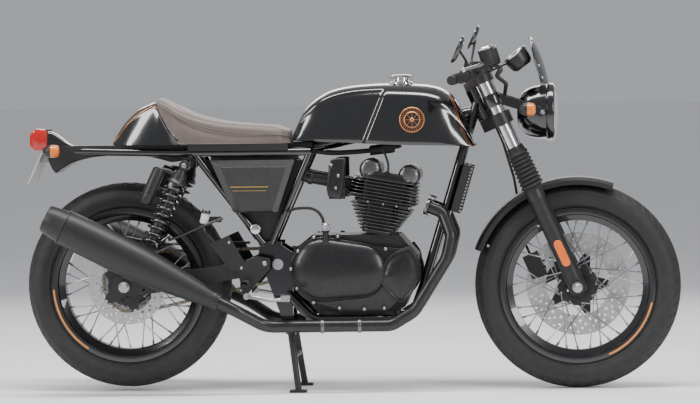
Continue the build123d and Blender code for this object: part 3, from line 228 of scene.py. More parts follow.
def across(at, side=-1):
    """A place whose z axis points out of the machine's side."""
    return Matrix.Translation(Vector(at)) @ Matrix(((-side, 0, 0), (0, 0, side), (0, 1, 0))).to_4x4()


def spline(points, steps=8):
    """A smooth open curve through a few points."""
    pts = [Vector(p) for p in points]
    ends = [pts[0] * 2 - pts[1]] + pts + [pts[-1] * 2 - pts[-2]]
    out = []
    for k in range(1, len(ends) - 2):
        a, b, c, d = ends[k - 1:k + 3]
        for step in range(steps):
            t = step / steps
            out.append(0.5 * (2 * b + (c - a) * t + (2 * a - 5 * b + 4 * c - d) * t ** 2
                              + (3 * b - a - 3 * c + d) * t ** 3))
    return out + [pts[-1]]


def smooth(pairs, steps):
    """A smooth curve through a few pairs, as pairs."""
    return [(p.x, p.y) for p in spline([(a, b, 0) for a, b in pairs], steps)]


def circle(x, y, r, steps=20, start=0.0):
    angles = [start + 2 * pi * k / steps for k in range(steps)]
    return [(x + r * cos(a), y + r * sin(a)) for a in angles]


def stack(profile, steps):
    """A circle for each (radius, height) pair of a profile."""
    return [[(x, y, h) for x, y in circle(0, 0, r, steps)] for r, h in profile]


def drawn_in(outline, centre, steps):
    """Copies of an outline of (x, z) points, drawn in to a centre, for each (share, y)."""
    return [[(centre[0] + (x - centre[0]) * f, y, centre[1] + (z - centre[1]) * f) for x, z in outline]
            for f, y in steps]


def mirror(points):
    """The same points on the other side of the centre plane."""
    return [Vector((p[0], -p[1], p[2])) for p in points]


class Batch:
    """Collects shapes into one mesh, in millimetres."""

    def __init__(self):
        self.verts, self.faces = [], []

    def put(self, verts, faces, place=None):
        base = len(self.verts)
        self.verts += [place @ Vector(v) if place is not None else Vector(v) for v in verts]
        self.faces += [[base + k for k in face] for face in faces]
        return self

    def rings(self, rows, closed=True, caps=True, place=None):
        """Rows of points with the same count, joined into a skin."""
        count = len(rows[0])
        faces = []
        for k in range(len(rows) - 1):
            for j in range(count if closed else count - 1):
                a, b = k * count + j, k * count + (j + 1) % count
                faces.append([a, b, b + count, a + count])
        if caps:
            faces.append(list(range(count))[::-1])
            faces.append([(len(rows) - 1) * count + j for j in range(count)])
        return self.put([p for row in rows for p in row], faces, place)

    def turn(self, profile, place, steps=64, closed=False):
        """A profile of (radius, height) pairs turned about the place's z axis."""
        rows = stack(profile, steps)
        return self.rings(rows + rows[:1] if closed else rows, caps=False, place=place)

    def knob(self, at, direction, radius, height, sides=6, bevel=0.18):
        """A closed hexagonal or round head with a chamfered rim."""
        cut = radius * bevel
        profile = [(radius * 0.98, 0), (radius, cut * 0.2), (radius, height - cut), (radius - cut, height)]
        return self.rings(stack(profile, sides), place=along(at, direction))

    def bar(self, a, b, radius, sides=16, end_radius=None):
        way = Vector(b) - Vector(a)
        profile = ((radius, 0), (radius if end_radius is None else end_radius, way.length))
        return self.rings(stack(profile, sides), place=along(a, way))

    def pipe(self, points, radius, sides=12):
        """A round tube along a list of points, with a radius or one radius a point."""
        pts = [Vector(p) for p in points]
        radii = radius if isinstance(radius, list) else [radius] * len(pts)
        rows = []
        normal = None
        for k, p in enumerate(pts):
            way = (pts[min(k + 1, len(pts) - 1)] - pts[max(k - 1, 0)]).normalized()
            if normal is None:
                normal = way.orthogonal().normalized()
            normal = (normal - way * normal.dot(way)).normalized()
            other = way.cross(normal)
            rows.append([p + (normal * x + other * y) * radii[k] for x, y in circle(0, 0, 1, sides)])
        return self.rings(rows)

    def box(self, x, y, z, place=None):
        verts = [(a, b, c) for a in x for b in y for c in z]
        faces = [(0, 1, 3, 2), (4, 6, 7, 5), (0, 4, 5, 1), (2, 3, 7, 6), (0, 2, 6, 4), (1, 5, 7, 3)]
        return self.put(verts, faces, place)

    def prism(self, outline, low, high):
        """An outline of (x, z) points, from one y to another."""
        return self.rings([[(x, y, z) for x, z in outline] for y in (low, high)])

    def mirrored(self):
        """Adds the same shapes on the other side of the centre plane."""
        base = len(self.verts)
        self.faces += [[base + k for k in reversed(face)] for face in self.faces]
        self.verts += mirror(self.verts)
        return self

    def build(self, name, slot, body="chassis", look=None, angle=35, bevel=0.0, solid=None):
        """Makes the piece, where solid is the node that it stands for."""
        mesh = bpy.data.meshes.new(name)
        mesh.from_pydata([v * MM for v in self.verts], [], self.faces)
        edit = bmesh.new()
        edit.from_mesh(mesh)
        bmesh.ops.remove_doubles(edit, verts=edit.verts, dist=0.00002)
        bmesh.ops.recalc_face_normals(edit, faces=edit.faces)
        edit.to_mesh(mesh)
        edit.free()
        mesh.polygons.foreach_set("use_smooth", [True] * len(mesh.polygons))
        mesh.set_sharp_from_angle(angle=radians(angle))
        obj = dress(name, mesh, slot, body, look, solid)
        if bevel:
            edge = obj.modifiers.new("bevel", "BEVEL")
            edge.width = bevel * MM
            edge.segments = 2
            edge.limit_method = "ANGLE"
            edge.angle_limit = radians(35)
        return obj


def dress(name, mesh, slot, body, look, solid):
    """Makes a mesh a piece with the finish of its look, else of its slot, under its body, and hides the node it
    stands for.
    """
    mesh.materials.append(MATS[look or SLOT_FINISH[slot]])
    obj = add_object(name, mesh)
    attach(obj, body)
    if solid:
        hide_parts(solid)
    return obj


def plate_with_holes(name, outer, holes, thick, place, slot, body, look=None, bevel=0.4, solid=None):
    """A flat plate with round or shaped holes, from 2D loops in the place's x and y."""
    curve = bpy.data.curves.new(name, "CURVE")
    curve.dimensions = "2D"
    curve.fill_mode = "BOTH"
    curve.extrude = (thick / 2 - bevel) * MM
    curve.bevel_depth = bevel * MM
    for loop in [outer] + holes:
        path = curve.splines.new("POLY")
        path.points.add(len(loop) - 1)
        for k, (x, y) in enumerate(loop):
            path.points[k].co = (x * MM, y * MM, 0, 1)
        path.use_cyclic_u = True
    shape = bpy.data.objects.new(name, curve)
    mesh = bpy.data.meshes.new_from_object(shape)
    bpy.data.objects.remove(shape)
    mesh.transform(Matrix.Scale(MM, 4) @ place @ Matrix.Scale(1 / MM, 4))
    mesh.materials.clear()
    return dress(name, mesh, slot, body, look, solid)


# Wheels: rounded tyres with a cut tread, rims, wire spokes with nipples, hubs
# name, middle, tyre radius and half width, rim bead half width, hub flange radius and half width,
# right and left shoulder of the hub, and the painted arc of the rim in degrees
WHEELS = [
    ("front", FRONT_AXLE, FRONT_TYRE_R, 50.0, 32.0, 62.0, 30.0, 58.0, 58.0, (-66.0, -13.5)),
    ("rear", REAR_AXLE, REAR_TYRE_R, 65.0, 44.0, 66.0, 34.0, 72.0, 88.0, (183.0, 237.0)),
]
FLANGE_R, BED_R, WELL_R, RIM_T = 242.0, 226.0, 207.0, 6.0
BLOCKS = 54               # tread blocks round the tyre
BLOCK_STEPS = 12          # points round one block
TREAD_COLUMNS = 34
GROOVE = 3.2
SPOKES = 36
SPOKE_SWEEP = 56.0
SPOKE_R, NIPPLE_R = 1.9, 3.3
AXLE_R, NOSE_R, BOSS_R = 10.1, 20.0, 44.0
HUB_NUTS, NUT_RING = 6, 32


def on_wheel(at, r, angle, y):
    """A point at a radius and an angle round an axle, y out from its middle."""
    return Vector((at.x + r * cos(angle), at.y + y, at.z + r * sin(angle)))


def tread_depth(turn, share):
    """Groove depth at a share of the half tread, 0 at the crown and 1 at the shoulder."""
    reach = abs(share)
    phase = (turn * BLOCKS + 1.1 * reach + (0.5 if share >= 0 else 0.0)) % 1.0
    if 0.10 < reach < 0.86 and phase < 0.17 * (1 - 0.5 * reach) + 0.03:
        return GROOVE
    if 0.44 < reach < 0.49 and 0.35 < phase < 0.8:
        return GROOVE * 0.7
    return 0.0


def tyre_piece(name, at, radius, half, bead):
    height = radius - FLANGE_R
    wall = smooth([(FLANGE_R - 10, bead), (FLANGE_R + 2, bead + 3), (FLANGE_R + 7, bead + 9.0),
                   (FLANGE_R + 9.5, bead + 9.6), (FLANGE_R + 12, bead + 10.0),
                   (FLANGE_R + 0.36 * height, half - 1.0), (FLANGE_R + 0.48 * height, half),
                   (FLANGE_R + 0.60 * height, half * 0.965), (FLANGE_R + 0.68 * height, half * 0.935)], 3)
    shoulder_r, shoulder_y = wall[-1]
    profile = [(r, y, None) for r, y in wall]
    for k in range(1, TREAD_COLUMNS):
        share = 1 - 2 * k / TREAD_COLUMNS
        r = shoulder_r + (radius - shoulder_r) * (1 - abs(share) ** 2.15)
        profile.append((r, shoulder_y * share, share))
    profile += [(r, -y, None) for r, y in reversed(wall)]
    rows = []
    for k in range(BLOCKS * BLOCK_STEPS):
        turn = k / (BLOCKS * BLOCK_STEPS)
        rows.append([on_wheel(at, r - (tread_depth(turn, share) if share is not None else 0.0),
                              2 * pi * turn, y) for r, y, share in profile])
    rows.append(rows[0])
    skin = Batch().rings(rows, closed=False, caps=False)
    skin.build(name + "_tyre_skin", "tyre", name + "_wheel", angle=28, solid=name + "_tyre")


def rim_piece(name, at, bead):
    outer = [(FLANGE_R - 1.5, bead + 6.0), (FLANGE_R, bead + 4.5), (FLANGE_R - 0.6, bead + 0.5),
             (FLANGE_R - 4, bead), (BED_R, bead - 2), (BED_R - 1, bead * 0.62), (WELL_R, bead * 0.40)]
    inner = [(WELL_R - RIM_T, bead * 0.44), (BED_R - RIM_T, bead * 0.70), (BED_R - RIM_T - 1, bead + 3.0),
             (BED_R - RIM_T + 1.5, bead + 6.0), (BED_R - RIM_T + 5, bead + 6.6), (FLANGE_R - 6, bead + 6.6)]
    loop = outer + [(r, -y) for r, y in outer[::-1] + inner[::-1]] + inner
    ring = Batch().turn(loop, across(at), steps=144, closed=True)
    ring.build(name + "_rim_skin", "rim", name + "_wheel", angle=32, solid=name + "_rim")


def stripe_piece(name, at, bead, arc):
    """A painted stripe along part of the rim's edge, on both sides."""
    stripe = Batch()
    low, high = radians(arc[0]), radians(arc[1])
    ring = ((231.0, -1.0), (231.6, 0.2), (236.4, 0.2), (237.0, -1.0))
    steps = 48
    for side in SIDES:
        stripe.rings([[on_wheel(at, r, low + (high - low) * k / steps, side * (bead + 7.0) + side * dy)
                       for r, dy in ring] for k in range(steps + 1)])
    stripe.build(name + "_rim_stripe", "rim", name + "_wheel", "orange", angle=50)


def hub_piece(name, at, flange_r, flange_half, right, left):
    def half_profile(shoulder):
        return [(AXLE_R, shoulder + 13), (NOSE_R - 1, shoulder + 13), (NOSE_R, shoulder + 12),
                (NOSE_R, shoulder), (BOSS_R, shoulder - 0.4), (BOSS_R + 1, shoulder - 3),
                (BOSS_R - 3, flange_half + 8), (flange_r - 3, flange_half + 5), (flange_r, flange_half + 4),
                (flange_r, flange_half + 1), (flange_r - 3, flange_half), (34, flange_half - 6),
                (30, flange_half * 0.3)]
    loop = half_profile(left) + [(r, -y) for r, y in reversed(half_profile(right))]
    hub = Batch().turn(loop, across(at, 1), steps=72, closed=True)
    for side, shoulder in ((-1, right), (1, left)):
        for k in range(HUB_NUTS):
            spot = on_wheel(at, NUT_RING, 2 * pi * (k + 0.5) / HUB_NUTS, side * (shoulder + 5.3))
            hub.knob(spot, (0, side, 0), 5.5, 4.0)
    hub.build(name + "_hub_skin", "hub", name + "_wheel", angle=32, solid=name + "_spokes")


def spoke_piece(name, at, flange_r, flange_half):
    wires = Batch()
    for k in range(SPOKES):
        side = 1 if k % 2 else -1
        turn = 1 if (k // 2) % 2 else -1
        at_rim = 2 * pi * k / SPOKES
        a = on_wheel(at, flange_r - 6.0, at_rim - turn * radians(SPOKE_SWEEP),
                     side * (flange_half + (7.0 if turn > 0 else -1.6)))
        b = on_wheel(at, WELL_R - 2.0, at_rim, side * 5.0)
        run = (b - a).normalized()
        wires.bar(a, b, SPOKE_R, 8)
        wires.bar(b - run * 17, b - run * 2, NIPPLE_R, 8, NIPPLE_R + 0.5)
        wires.bar(a - Vector((0, side * turn * 5.5, 0)), a, SPOKE_R, 8)
        wires.knob(a, (0, side * turn, 0), 3.6, 1.6, sides=10)
    wires.build(name + "_spoke_wires", "hub", name + "_wheel", "spoke_steel", angle=40)


for name, at, radius, half, bead, flange_r, flange_half, right, left, arc in WHEELS:
    tyre_piece(name, at, radius, half, bead)
    rim_piece(name, at, bead)
    stripe_piece(name, at, bead, arc)
    hub_piece(name, at, flange_r, flange_half, right, left)
    spoke_piece(name, at, flange_r, flange_half)

# Brake discs: drilled rings on slim carriers
CARRIER_R = 58
ARMS = 5


def ring_holes(count, radius, size, start=0.0):
    return [circle(x, y, size, 12) for x, y in circle(0, 0, radius, count, start)]


def brake_disc(name, body, at, radius, bore, rows):
    low, high = limits(name)
    y = (low.y + high.y) / 2
    place = across(Vector((at.x, y, at.z)))
    holes = [circle(0, 0, bore, 60)]
    for row in rows:
        holes += ring_holes(*row)
    plate_with_holes(name + "_ring", circle(0, 0, radius, 120), holes, 4.4, place, "disc", body,
                     bevel=0.3, solid=name)
    star = []
    for k in range(ARMS * 12):
        a = 2 * pi * k / (ARMS * 12)
        r = CARRIER_R + (bore + 4 - CARRIER_R) * (0.5 + 0.5 * cos(ARMS * a)) ** 3
        star.append((r * cos(a), r * sin(a)))
    plate_with_holes(name + "_carrier", star, [circle(0, 0, 20.3, 40)] + ring_holes(ARMS, 46, 6.0, pi / ARMS),
                     3.6, place, "disc", body, "satin_black")
    studs = Batch()
    for x, z in circle(at.x, at.z, bore - 1, ARMS):
        studs.bar((x, y - 3.4, z), (x, y + 3.4, z), 6.5, 20)
    studs.build(name + "_studs", "disc", body, "steel")


# Rows of holes: count, radius of the row, radius of a hole, turn
brake_disc("front_disc", "front_wheel", FRONT_AXLE, 160.0, 100.0,
           [(24, 151, 4.5, 0.0), (24, 140, 4.5, 0.09), (24, 129, 4.5, 0.18), (24, 117, 5.5, 0.05)])
brake_disc("rear_disc", "rear_wheel", REAR_AXLE, 120.0, 84.0,
           [(20, 112, 4.0, 0.0), (20, 103, 4.0, 0.11), (20, 94, 4.0, 0.22)])

# Shock absorbers: dampers, coil springs and reservoirs
SHOCK_Y = 132.0
SHOCK_TOP = Vector((-508.0, -SHOCK_Y, 704.0))
SHOCK_LOW = Vector((REAR_AXLE.x + 54.0, -SHOCK_Y, REAR_AXLE.z + 74.4))
COILS = 9
COIL_STEPS = 26
SPRING_R, WIRE_R = 26.0, 4.6
POT_OFF = 66              # reservoir behind the damper


def shock_pieces():
    length = (SHOCK_TOP - SHOCK_LOW).length
    run = (SHOCK_TOP - SHOCK_LOW).normalized()
    place = along(SHOCK_LOW, SHOCK_TOP - SHOCK_LOW)
    low, high = 60.0, length - 66.0
    body = Batch()
    body.turn([(0, 10), (11, 10), (12, 14), (12, 46), (24, 50), (30, 54), (30, 59), (24, 62), (17, 63),
               (17, low + 90), (11, low + 96), (11, high + 2), (30, high + 4), (31, high + 10),
               (27, high + 14), (22, length - 44), (22, length - 34), (15, length - 22), (12, length - 12),
               (0, length - 12)], place, steps=40)
    for at in (SHOCK_TOP, SHOCK_LOW):
        body.turn([(8.2, -13), (15, -13), (16, -12), (16, 12), (15, 13), (8.2, 13)], across(at), 32, True)
        body.turn([(0, 17), (9, 17), (10.5, 16), (10.5, 13.4), (8.2, 13.4)], across(at), steps=6)
    body.mirrored().build("shock_dampers", "shock", angle=32, solid="shocks")
    turns = []
    for k in range(COILS * COIL_STEPS + 1):
        a = 2 * pi * k / COIL_STEPS
        height = low + 5 + (high - low - 6) * (k / (COILS * COIL_STEPS))
        turns.append(place @ Vector((SPRING_R * cos(a), SPRING_R * sin(a), height)))
    spring = Batch().pipe(turns, WIRE_R, sides=10)
    spring.mirrored().build("shock_springs", "shock", look="gloss_black", angle=60)
    back = Vector((-run.z, 0.0, run.x))
    foot = SHOCK_LOW + run * (length - 158) + back * POT_OFF
    neck = SHOCK_LOW + run * (length - 50)
    pot = Batch().turn([(0, 0), (15, 0), (18, 3), (19, 8), (20, 12), (20, 30), (19, 31), (19, 34), (20, 35),
                        (20, 112), (17, 118), (12, 120), (0, 120)], along(foot, run), steps=36)
    pot.pipe(spline([neck + back * 8, neck + back * 30 + run * 14, neck + back * 56 + run * 10,
                     neck + back * POT_OFF]), 8.0)
    pot.mirrored().build("shock_reservoirs", "shock", angle=32)


shock_pieces()

# Fuel tank: one skin with knee recesses, stripes and a plain ring badge
# x, lower edge, top, half width at the lower edge, half width and height of the shoulder crease
TANK_ROWS = [
    (-180, 776, 788, 58, 44, 783),
    (-175, 776, 806, 68, 54, 795),
    (-162, 775, 836, 77, 66, 816),
    (-146, 774, 867, 85, 76, 838),
    (-124, 773, 892, 92, 84, 856),
    (-99, 772, 911, 98, 90, 874),
    (-59, 770, 931, 105, 97, 887),
    (0, 768, 944, 112, 104, 897),
    (70, 765, 950, 122, 112, 901),
    (120, 762, 951.5, 129, 117, 901),
    (227, 759, 947, 132, 117, 893),
    (274, 758, 938, 129, 110, 880),
    (305, 757, 922, 124, 102, 862),
    (330, 756, 898, 118, 94, 836),
    (352, 755, 860, 111, 87, 812),
    (373, 754, 804, 103, 82, 778),
    (386, 753, 762, 96, 82, 757),
]
TANK_REAR, TANK_FRONT, TANK_STEP = -180.0, 386.0, 4.0
RECESS = 9.0                                    # depth of the knee recess
RECESS_LINE = ((53.0, 768.0), (112.0, 912.0))   # its front edge, low and high


def smooth_step(v):
    v = max(0.0, min(1.0, v))
    return v * v * (3 - 2 * v)


def tank_row(x):
    """The section at x, on a smooth curve through the rows."""
    last = len(TANK_ROWS) - 1
    k = next(k for k in range(last) if x <= TANK_ROWS[k + 1][0] or k == last - 1)
    a, b, c, d = [TANK_ROWS[max(0, min(last, j))] for j in range(k - 1, k + 3)]
    span = c[0] - b[0]
    t = (x - b[0]) / span
    out = []
    for j in range(1, 6):
        straight = (c[j] - b[j]) / span
        m0 = straight if k == 0 else (c[j] - a[j]) / (c[0] - a[0])
        m1 = straight if k == last - 1 else (d[j] - b[j]) / (d[0] - b[0])
        h00, h10 = 2 * t ** 3 - 3 * t ** 2 + 1, t ** 3 - 2 * t ** 2 + t
        h01, h11 = -2 * t ** 3 + 3 * t ** 2, t ** 3 - t ** 2
        out.append(h00 * b[j] + h10 * span * m0 + h01 * c[j] + h11 * span * m1)
    return out


def tank_skin(x, share):
    """A point of the right half: share 0 at the lower edge, 0.5 at the crease, 1 at the top."""
    low, top, low_half, crease_half, crease = tank_row(x)
    if share < 0.5:
        t = share * 2
        y = low_half + (crease_half - low_half) * t + 3.0 * sin(pi * t)
        z = low + (crease - low) * t
        y -= 5.0 * (max(0.0, 0.06 - t) / 0.06) ** 2
    else:
        a = (share - 0.5) * pi
        y = crease_half * cos(a) ** 0.82
        z = crease + (top - crease) * sin(a)
    (xa, za), (xb, zb) = RECESS_LINE
    edge = xa + (xb - xa) * (z - za) / (zb - za)
    into = smooth_step((edge - x) / 16.0)
    under = smooth_step((top - 13.0 - 0.02 * abs(x - 60) - z) / 16.0)
    rear = smooth_step((x + 176) / 40.0)
    y -= RECESS * into * under * rear * (0.35 + 0.65 * smooth_step((x + 150) / 190.0))
    y += 1.4 * max(0.0, 1 - abs(x - edge - 3.5) / 4.5) * smooth_step((crease - z + 6) / 12.0)
    return Vector((x, -max(y, 0.0), z))


def tank_normal(x, share):
    dx = tank_skin(x + 1.0, share) - tank_skin(x - 1.0, share)
    ds = tank_skin(x, min(1.0, share + 0.004)) - tank_skin(x, max(0.0, share - 0.004))
    normal = dx.cross(ds).normalized()
    return normal if normal.y < 0 or (abs(normal.y) < 0.02 and normal.z > 0) else -normal


def tank_piece():
    count = int((TANK_FRONT - TANK_REAR) / TANK_STEP)
    rows = []
    for k in range(count + 1):
        x = TANK_REAR + (TANK_FRONT - TANK_REAR) * k / count
        right = [tank_skin(x, j / 44) for j in range(45)]
        left = mirror(right[:-1])
        low = tank_row(x)[0]
        rows.append(right + left[::-1] + [Vector((x, p.y * 0.93, low + 7)) for p in (left[0], right[0])])
    Batch().rings(rows).build("tank_skin", "tank_paint", angle=42, solid="fuel_tank")


tank_piece()
STRIPE_X = (300.0, 386.0)   # the front stripes, at the top and at the lower edge
STRIPE_LIFT = 0.5
stripes = Batch()
for shift, width in ((0.0, 3.4), (-8.0, 1.4)):
    rows = []
    for k in range(41):
        share = 1 - k / 40 * 0.985
        x = STRIPE_X[0] + (STRIPE_X[1] - STRIPE_X[0]) * (1 - share) ** 0.9 + shift
        normal = tank_normal(x, share)
        a, b = [tank_skin(edge, share) + normal * STRIPE_LIFT for edge in (x - width / 2, x + width / 2)]
        rows.append([a - normal * 1.2, a, b, b - normal * 1.2])
    stripes.rings(rows)
stripes.mirrored().build("tank_stripes", "tank_paint", look="copper", angle=60)

# Plain ring badge: two rims and a circle of short ribs, with nothing written on it
BADGE_X, BADGE_SHARE = 196.0, 0.285
badge_way = tank_normal(BADGE_X, BADGE_SHARE)
place = along(tank_skin(BADGE_X, BADGE_SHARE) - badge_way * 1.0, badge_way)
metal = Batch()
for r in (38.0, 24.0):
    metal.turn([(r - 2.2, 0), (r - 1.8, 3.2), (r, 3.8), (r + 1.0, 3.2), (r + 1.4, 0)], place, closed=True)
for count, reach, half in ((28, (25.0, 36.5), 0.9), (8, (6.0, 22.0), 1.1)):
    for k in range(count):
        metal.box(reach, (-half, half), (0.4, 3.0), place @ Matrix.Rotation(2 * pi * k / count, 4, "Z"))
metal.turn([(0, 3.6), (5, 3.3), (7, 1.5), (7, 0)], place, steps=32)
metal.mirrored().build("badge_ribs", "tank_paint", look="copper", angle=40)
ground = Batch().turn([(0, 1.8), (36.6, 1.8), (37, 0)], place)
ground.mirrored().build("badge_ground", "tank_paint", look="satin_black", angle=40)

# Filler cap: a flip-up cap on a chrome neck, with its hinge and latch
low, high = limits("fuel_cap")
at = Vector(((low.x + high.x) / 2, 0, high.z))
place = along(at, (0, 0, 1))
cap = Batch()
cap.turn([(38, -33), (37, -26), (33, -23.5), (25, -22), (23, -20), (22, -11), (24, -9.5)], place)
cap.turn([(0, -9), (30, -9.5), (32, -8), (32, -5.5), (29, -3.0), (16, -0.8), (0, 0)], place)
cap.bar(at + Vector((-34, -14, -12)), at + Vector((-34, 14, -12)), 4.2)
cap.box((-36, -20), (-8, 8), (-12, -7), place)
cap.box((20, 35), (-6, 6), (-14, -8), place)
cap.bar(at + Vector((31, -7, -16)), at + Vector((31, 7, -16)), 3.4)
for x, y in circle(0, 0, 33.0, 8, 2 * pi * 0.5 / 8):
    cap.knob(at + Vector((x, y, -25)), (0, 0, 1), 2.4, 2.0)
cap.build("filler_cap", "cap", solid="fuel_cap")

# Saddle: a padded leather skin with piping, blown up a little by a cloth pass
# x, lower edge, top, half width at the lower edge, half width at the top edge
SADDLE = [
    (-184, 769, 806, 66, 50),
    (-196, 768, 813, 80, 64),
    (-222, 767.5, 818, 96, 80),
    (-300, 767.5, 823, 110, 94),
    (-380, 767.5, 831, 115, 98),
    (-440, 767.5, 843, 117, 98),
    (-490, 767.5, 859, 117, 94),
    (-528, 767.5, 878, 115, 90),
    (-552, 790, 894, 113, 86),
    (-574, 828, 907, 109, 80),
    (-590, 864, 912, 104, 72),
    (-602, 893, 907, 96, 62),
]
SEAT_CROWN = 4.0
SEAT_ROUND = 20.0
PUFF_CAP = 3.5
PUFF_SMOOTHING = 14
PUFF_FRAMES = 12
HELD_BAND = 0.006         # metres above the hem that the cloth pass leaves alone


def sections(rows, steps):
    """A smooth curve through each column of a table, as (x, value) points."""
    return [spline([(row[0], row[k], 0) for row in rows], steps) for k in range(1, 5)]


def saddle_rows():
    rows = []
    for spots in zip(*sections(SADDLE, 5)):
        low, top, low_half, top_half = [spot.y for spot in spots]
        round_r = min(SEAT_ROUND, (top - low) * 0.42)
        ring = [(low_half - 2.0 * j / 16, low + (top - round_r - low) * j / 16) for j in range(17)]
        for j in range(1, 9):
            a = j / 8 * pi / 2
            ring.append((top_half + (low_half - 2.0 - top_half) * cos(a), top - round_r + round_r * sin(a)))
        for j in range(1, 13):
            share = j / 12
            ring.append((top_half * (1 - share), top + SEAT_CROWN * (1 - (1 - share) ** 2)))
        right = [(spots[0].x, -y, z) for y, z in ring]
        under = [(spots[0].x, low_half * (1 - 2 * j / 8), low) for j in range(1, 8)]
        rows.append(right + mirror(right[:-1])[::-1] + under)
    return rows


def puff(obj):
    """A short cloth pass with inside pressure, kept to a few millimetres."""
    rest = [v.co.copy() for v in obj.data.vertices]
    pinned = obj.vertex_groups.new(name="held")
    floor_z = min(v.z for v in rest)
    pinned.add([k for k, v in enumerate(rest) if v.z < floor_z + HELD_BAND], 1.0, "REPLACE")
    cloth = obj.modifiers.new("cloth", "CLOTH")
    for setting, value in (("quality", 5), ("mass", 0.4), ("tension_stiffness", 40),
                           ("compression_stiffness", 40), ("bending_stiffness", 6), ("use_pressure", True),
                           ("uniform_pressure_force", 4.0), ("vertex_group_mass", "held")):
        setattr(cloth.settings, setting, value)
    cloth.settings.effector_weights.gravity = 0.0
    cloth.point_cache.frame_start, cloth.point_cache.frame_end = 1, PUFF_FRAMES
    for step in range(1, PUFF_FRAMES + 1):
        SCENE.frame_set(step)
    graph = bpy.context.evaluated_depsgraph_get()
    moved = [v.co.copy() for v in obj.evaluated_get(graph).data.vertices]
    SCENE.frame_set(1)
    obj.modifiers.remove(cloth)
    shifts = [end - start for start, end in zip(rest, moved)]
    for step in range(PUFF_SMOOTHING):
        sums = [shift.copy() for shift in shifts]
        counts = [1] * len(shifts)
        for edge in obj.data.edges:
            ends = tuple(edge.vertices)
            for a, b in (ends, ends[::-1]):
                sums[a] += shifts[b]
                counts[a] += 1
        shifts = [total / count for total, count in zip(sums, counts)]
    for vertex, start, shift in zip(obj.data.vertices, rest, shifts):
        if shift.length > PUFF_CAP * MM:
            shift = shift.normalized() * PUFF_CAP * MM
        vertex.co = start + shift


seat = Batch().rings(saddle_rows()).build("saddle", "seat", angle=70, solid="seat")
puff(seat)
round_off = seat.modifiers.new("round_off", "SUBSURF")
round_off.levels = round_off.render_levels = 1
# name, point of the section, how far outside it, radius
for name, spot, lift, radius in (("saddle_piping", 15, 0.6, 1.6), ("saddle_hem", 1, 0.8, 1.3)):
    cord = Batch().pipe([Vector(row[spot]) + Vector((0, -lift, 0)) for row in saddle_rows()], radius, 8)
    cord.mirrored().build(name, "seat", angle=60)

# Tail cowl: a smooth shell behind the hump, drawn in at the back, with two copper lines
# x, lower edge, top, half width low, half width of the shoulder
COWL = [
    (-531, 768.0, 799, 113, 111),
    (-562, 768.0, 843, 112, 103),
    (-586, 768.0, 883, 111, 94),
    (-605, 768.0, 902, 109, 84),
    (-632, 768.0, 893, 105, 76),
    (-660, 768.0, 879, 98, 68),
    (-690, 768.0, 854, 88, 60),
    (-714, 768.0, 826, 76, 52),
    (-731, 768.0, 797, 64, 46),
    (-739, 768.0, 778, 56, 44),
]
# name, width, share of the section at the rear and at the front
COWL_STRIPES = [("cowl_line_wide", 2.6, 0.47, 0.66), ("cowl_line_fine", 1.2, 0.42, 0.60)]
COWL_LINE_FROM = 12       # the first section that the lines cross
cowl_spots = list(zip(*sections(COWL, 6)))


def cowl_point(spots, share, lift=0.0):
    low, top, low_half, high_half = [spot.y for spot in spots]
    bend = min(24.0, (top - low) * 0.45)
    if share < 0.5:
        t = share * 2
        y, z = low_half + (high_half + 10 - low_half) * t ** 1.4, low + (top - bend - low) * t
    else:
        a = (share - 0.5) * pi
        y, z = (high_half + 10) * cos(a) ** 0.7, top - bend + bend * sin(a)
    return Vector((spots[0].x, -(y + lift), z + lift * 0.4))


cowl_rows = []
for spots in cowl_spots:
    right = [cowl_point(spots, j / 32) for j in range(33)]
    cowl_rows.append(right + mirror(right[:-1])[::-1])
Batch().rings(cowl_rows).build("cowl_shell", "tank_paint", angle=50, solid="tail_cowl")
for name, width, rear, front in COWL_STRIPES:
    crossed = cowl_spots[COWL_LINE_FROM:-1]
    line = []
    for k, spots in enumerate(crossed):
        line.append(cowl_point(spots, front + (rear - front) * (k / (len(crossed) - 1)), 0.6))
    ring = [Vector(p) for p in ((0, 0, -width / 2), (0, -0.5, 0), (0, 0, width / 2), (0, 1.5, 0))]
    stripe = Batch().rings([[p + q for q in ring] for p in line])
    stripe.mirrored().build(name, "tank_paint", look="copper", angle=60)

# Engine: domed side covers with their bolts, finned barrels, rounded rocker boxes
CASE_Y = 88.3
COVER_FACE = 110.3
DOME_DEPTH = 30.0
# x, z and radius of the circles that a cover wraps
COVER_SLAB = [(-85.0, 375.0, 104.0), (150.0, 372.0, 68.0), (108.0, 272.0, 22.0), (-30.0, 268.0, 18.0)]
COVER_DOME = [(-85.0, 375.0, 98.0), (30.0, 372.0, 84.0)]
COVER_BOLTS = [(-112, 478), (-162, 435), (-184, 380), (-166, 321), (-38, 480), (-115, 277), (-35, 260),
               (42, 256), (104, 258), (160, 309), (207, 366), (186, 425), (110, 440)]
FRONT_COVER = [(187, 452), (141, 434), (110, 406), (98, 375), (91, 344), (113, 310), (150, 276),
               (176, 290), (203, 326), (212, 371), (207, 420)]
# share of the front cover's outline, and y
FRONT_STEPS = ((1.0, -106.0), (1.0, -120.0), (0.985, -123.0), (0.96, -124.0), (0.93, -123.4), (0.90, -121.0),
               (0.84, -121.0), (0.70, -126.0), (0.50, -130.0), (0.25, -132.0), (0.05, -132.4))
LEAN = radians(10.0)
ENGINE = turned((79.0, 0.0, 484.0), LEAN)


def hull_ring(circles, shrink, y, steps=120):
    """The outline that wraps some circles, drawn in by shrink, at one y."""
    ring = []
    for k in range(steps):
        a = 2 * pi * k / steps
        x, z, r = max(circles, key=lambda c: c[0] * cos(a) + c[1] * sin(a) + c[2])
        ring.append((x + (r - shrink) * cos(a), y, z + (r - shrink) * sin(a)))
    return ring


def closed_line(points, steps):
    """A smooth line through points and back to near the first."""
    return smooth(points + points[:1], steps)[:-1]


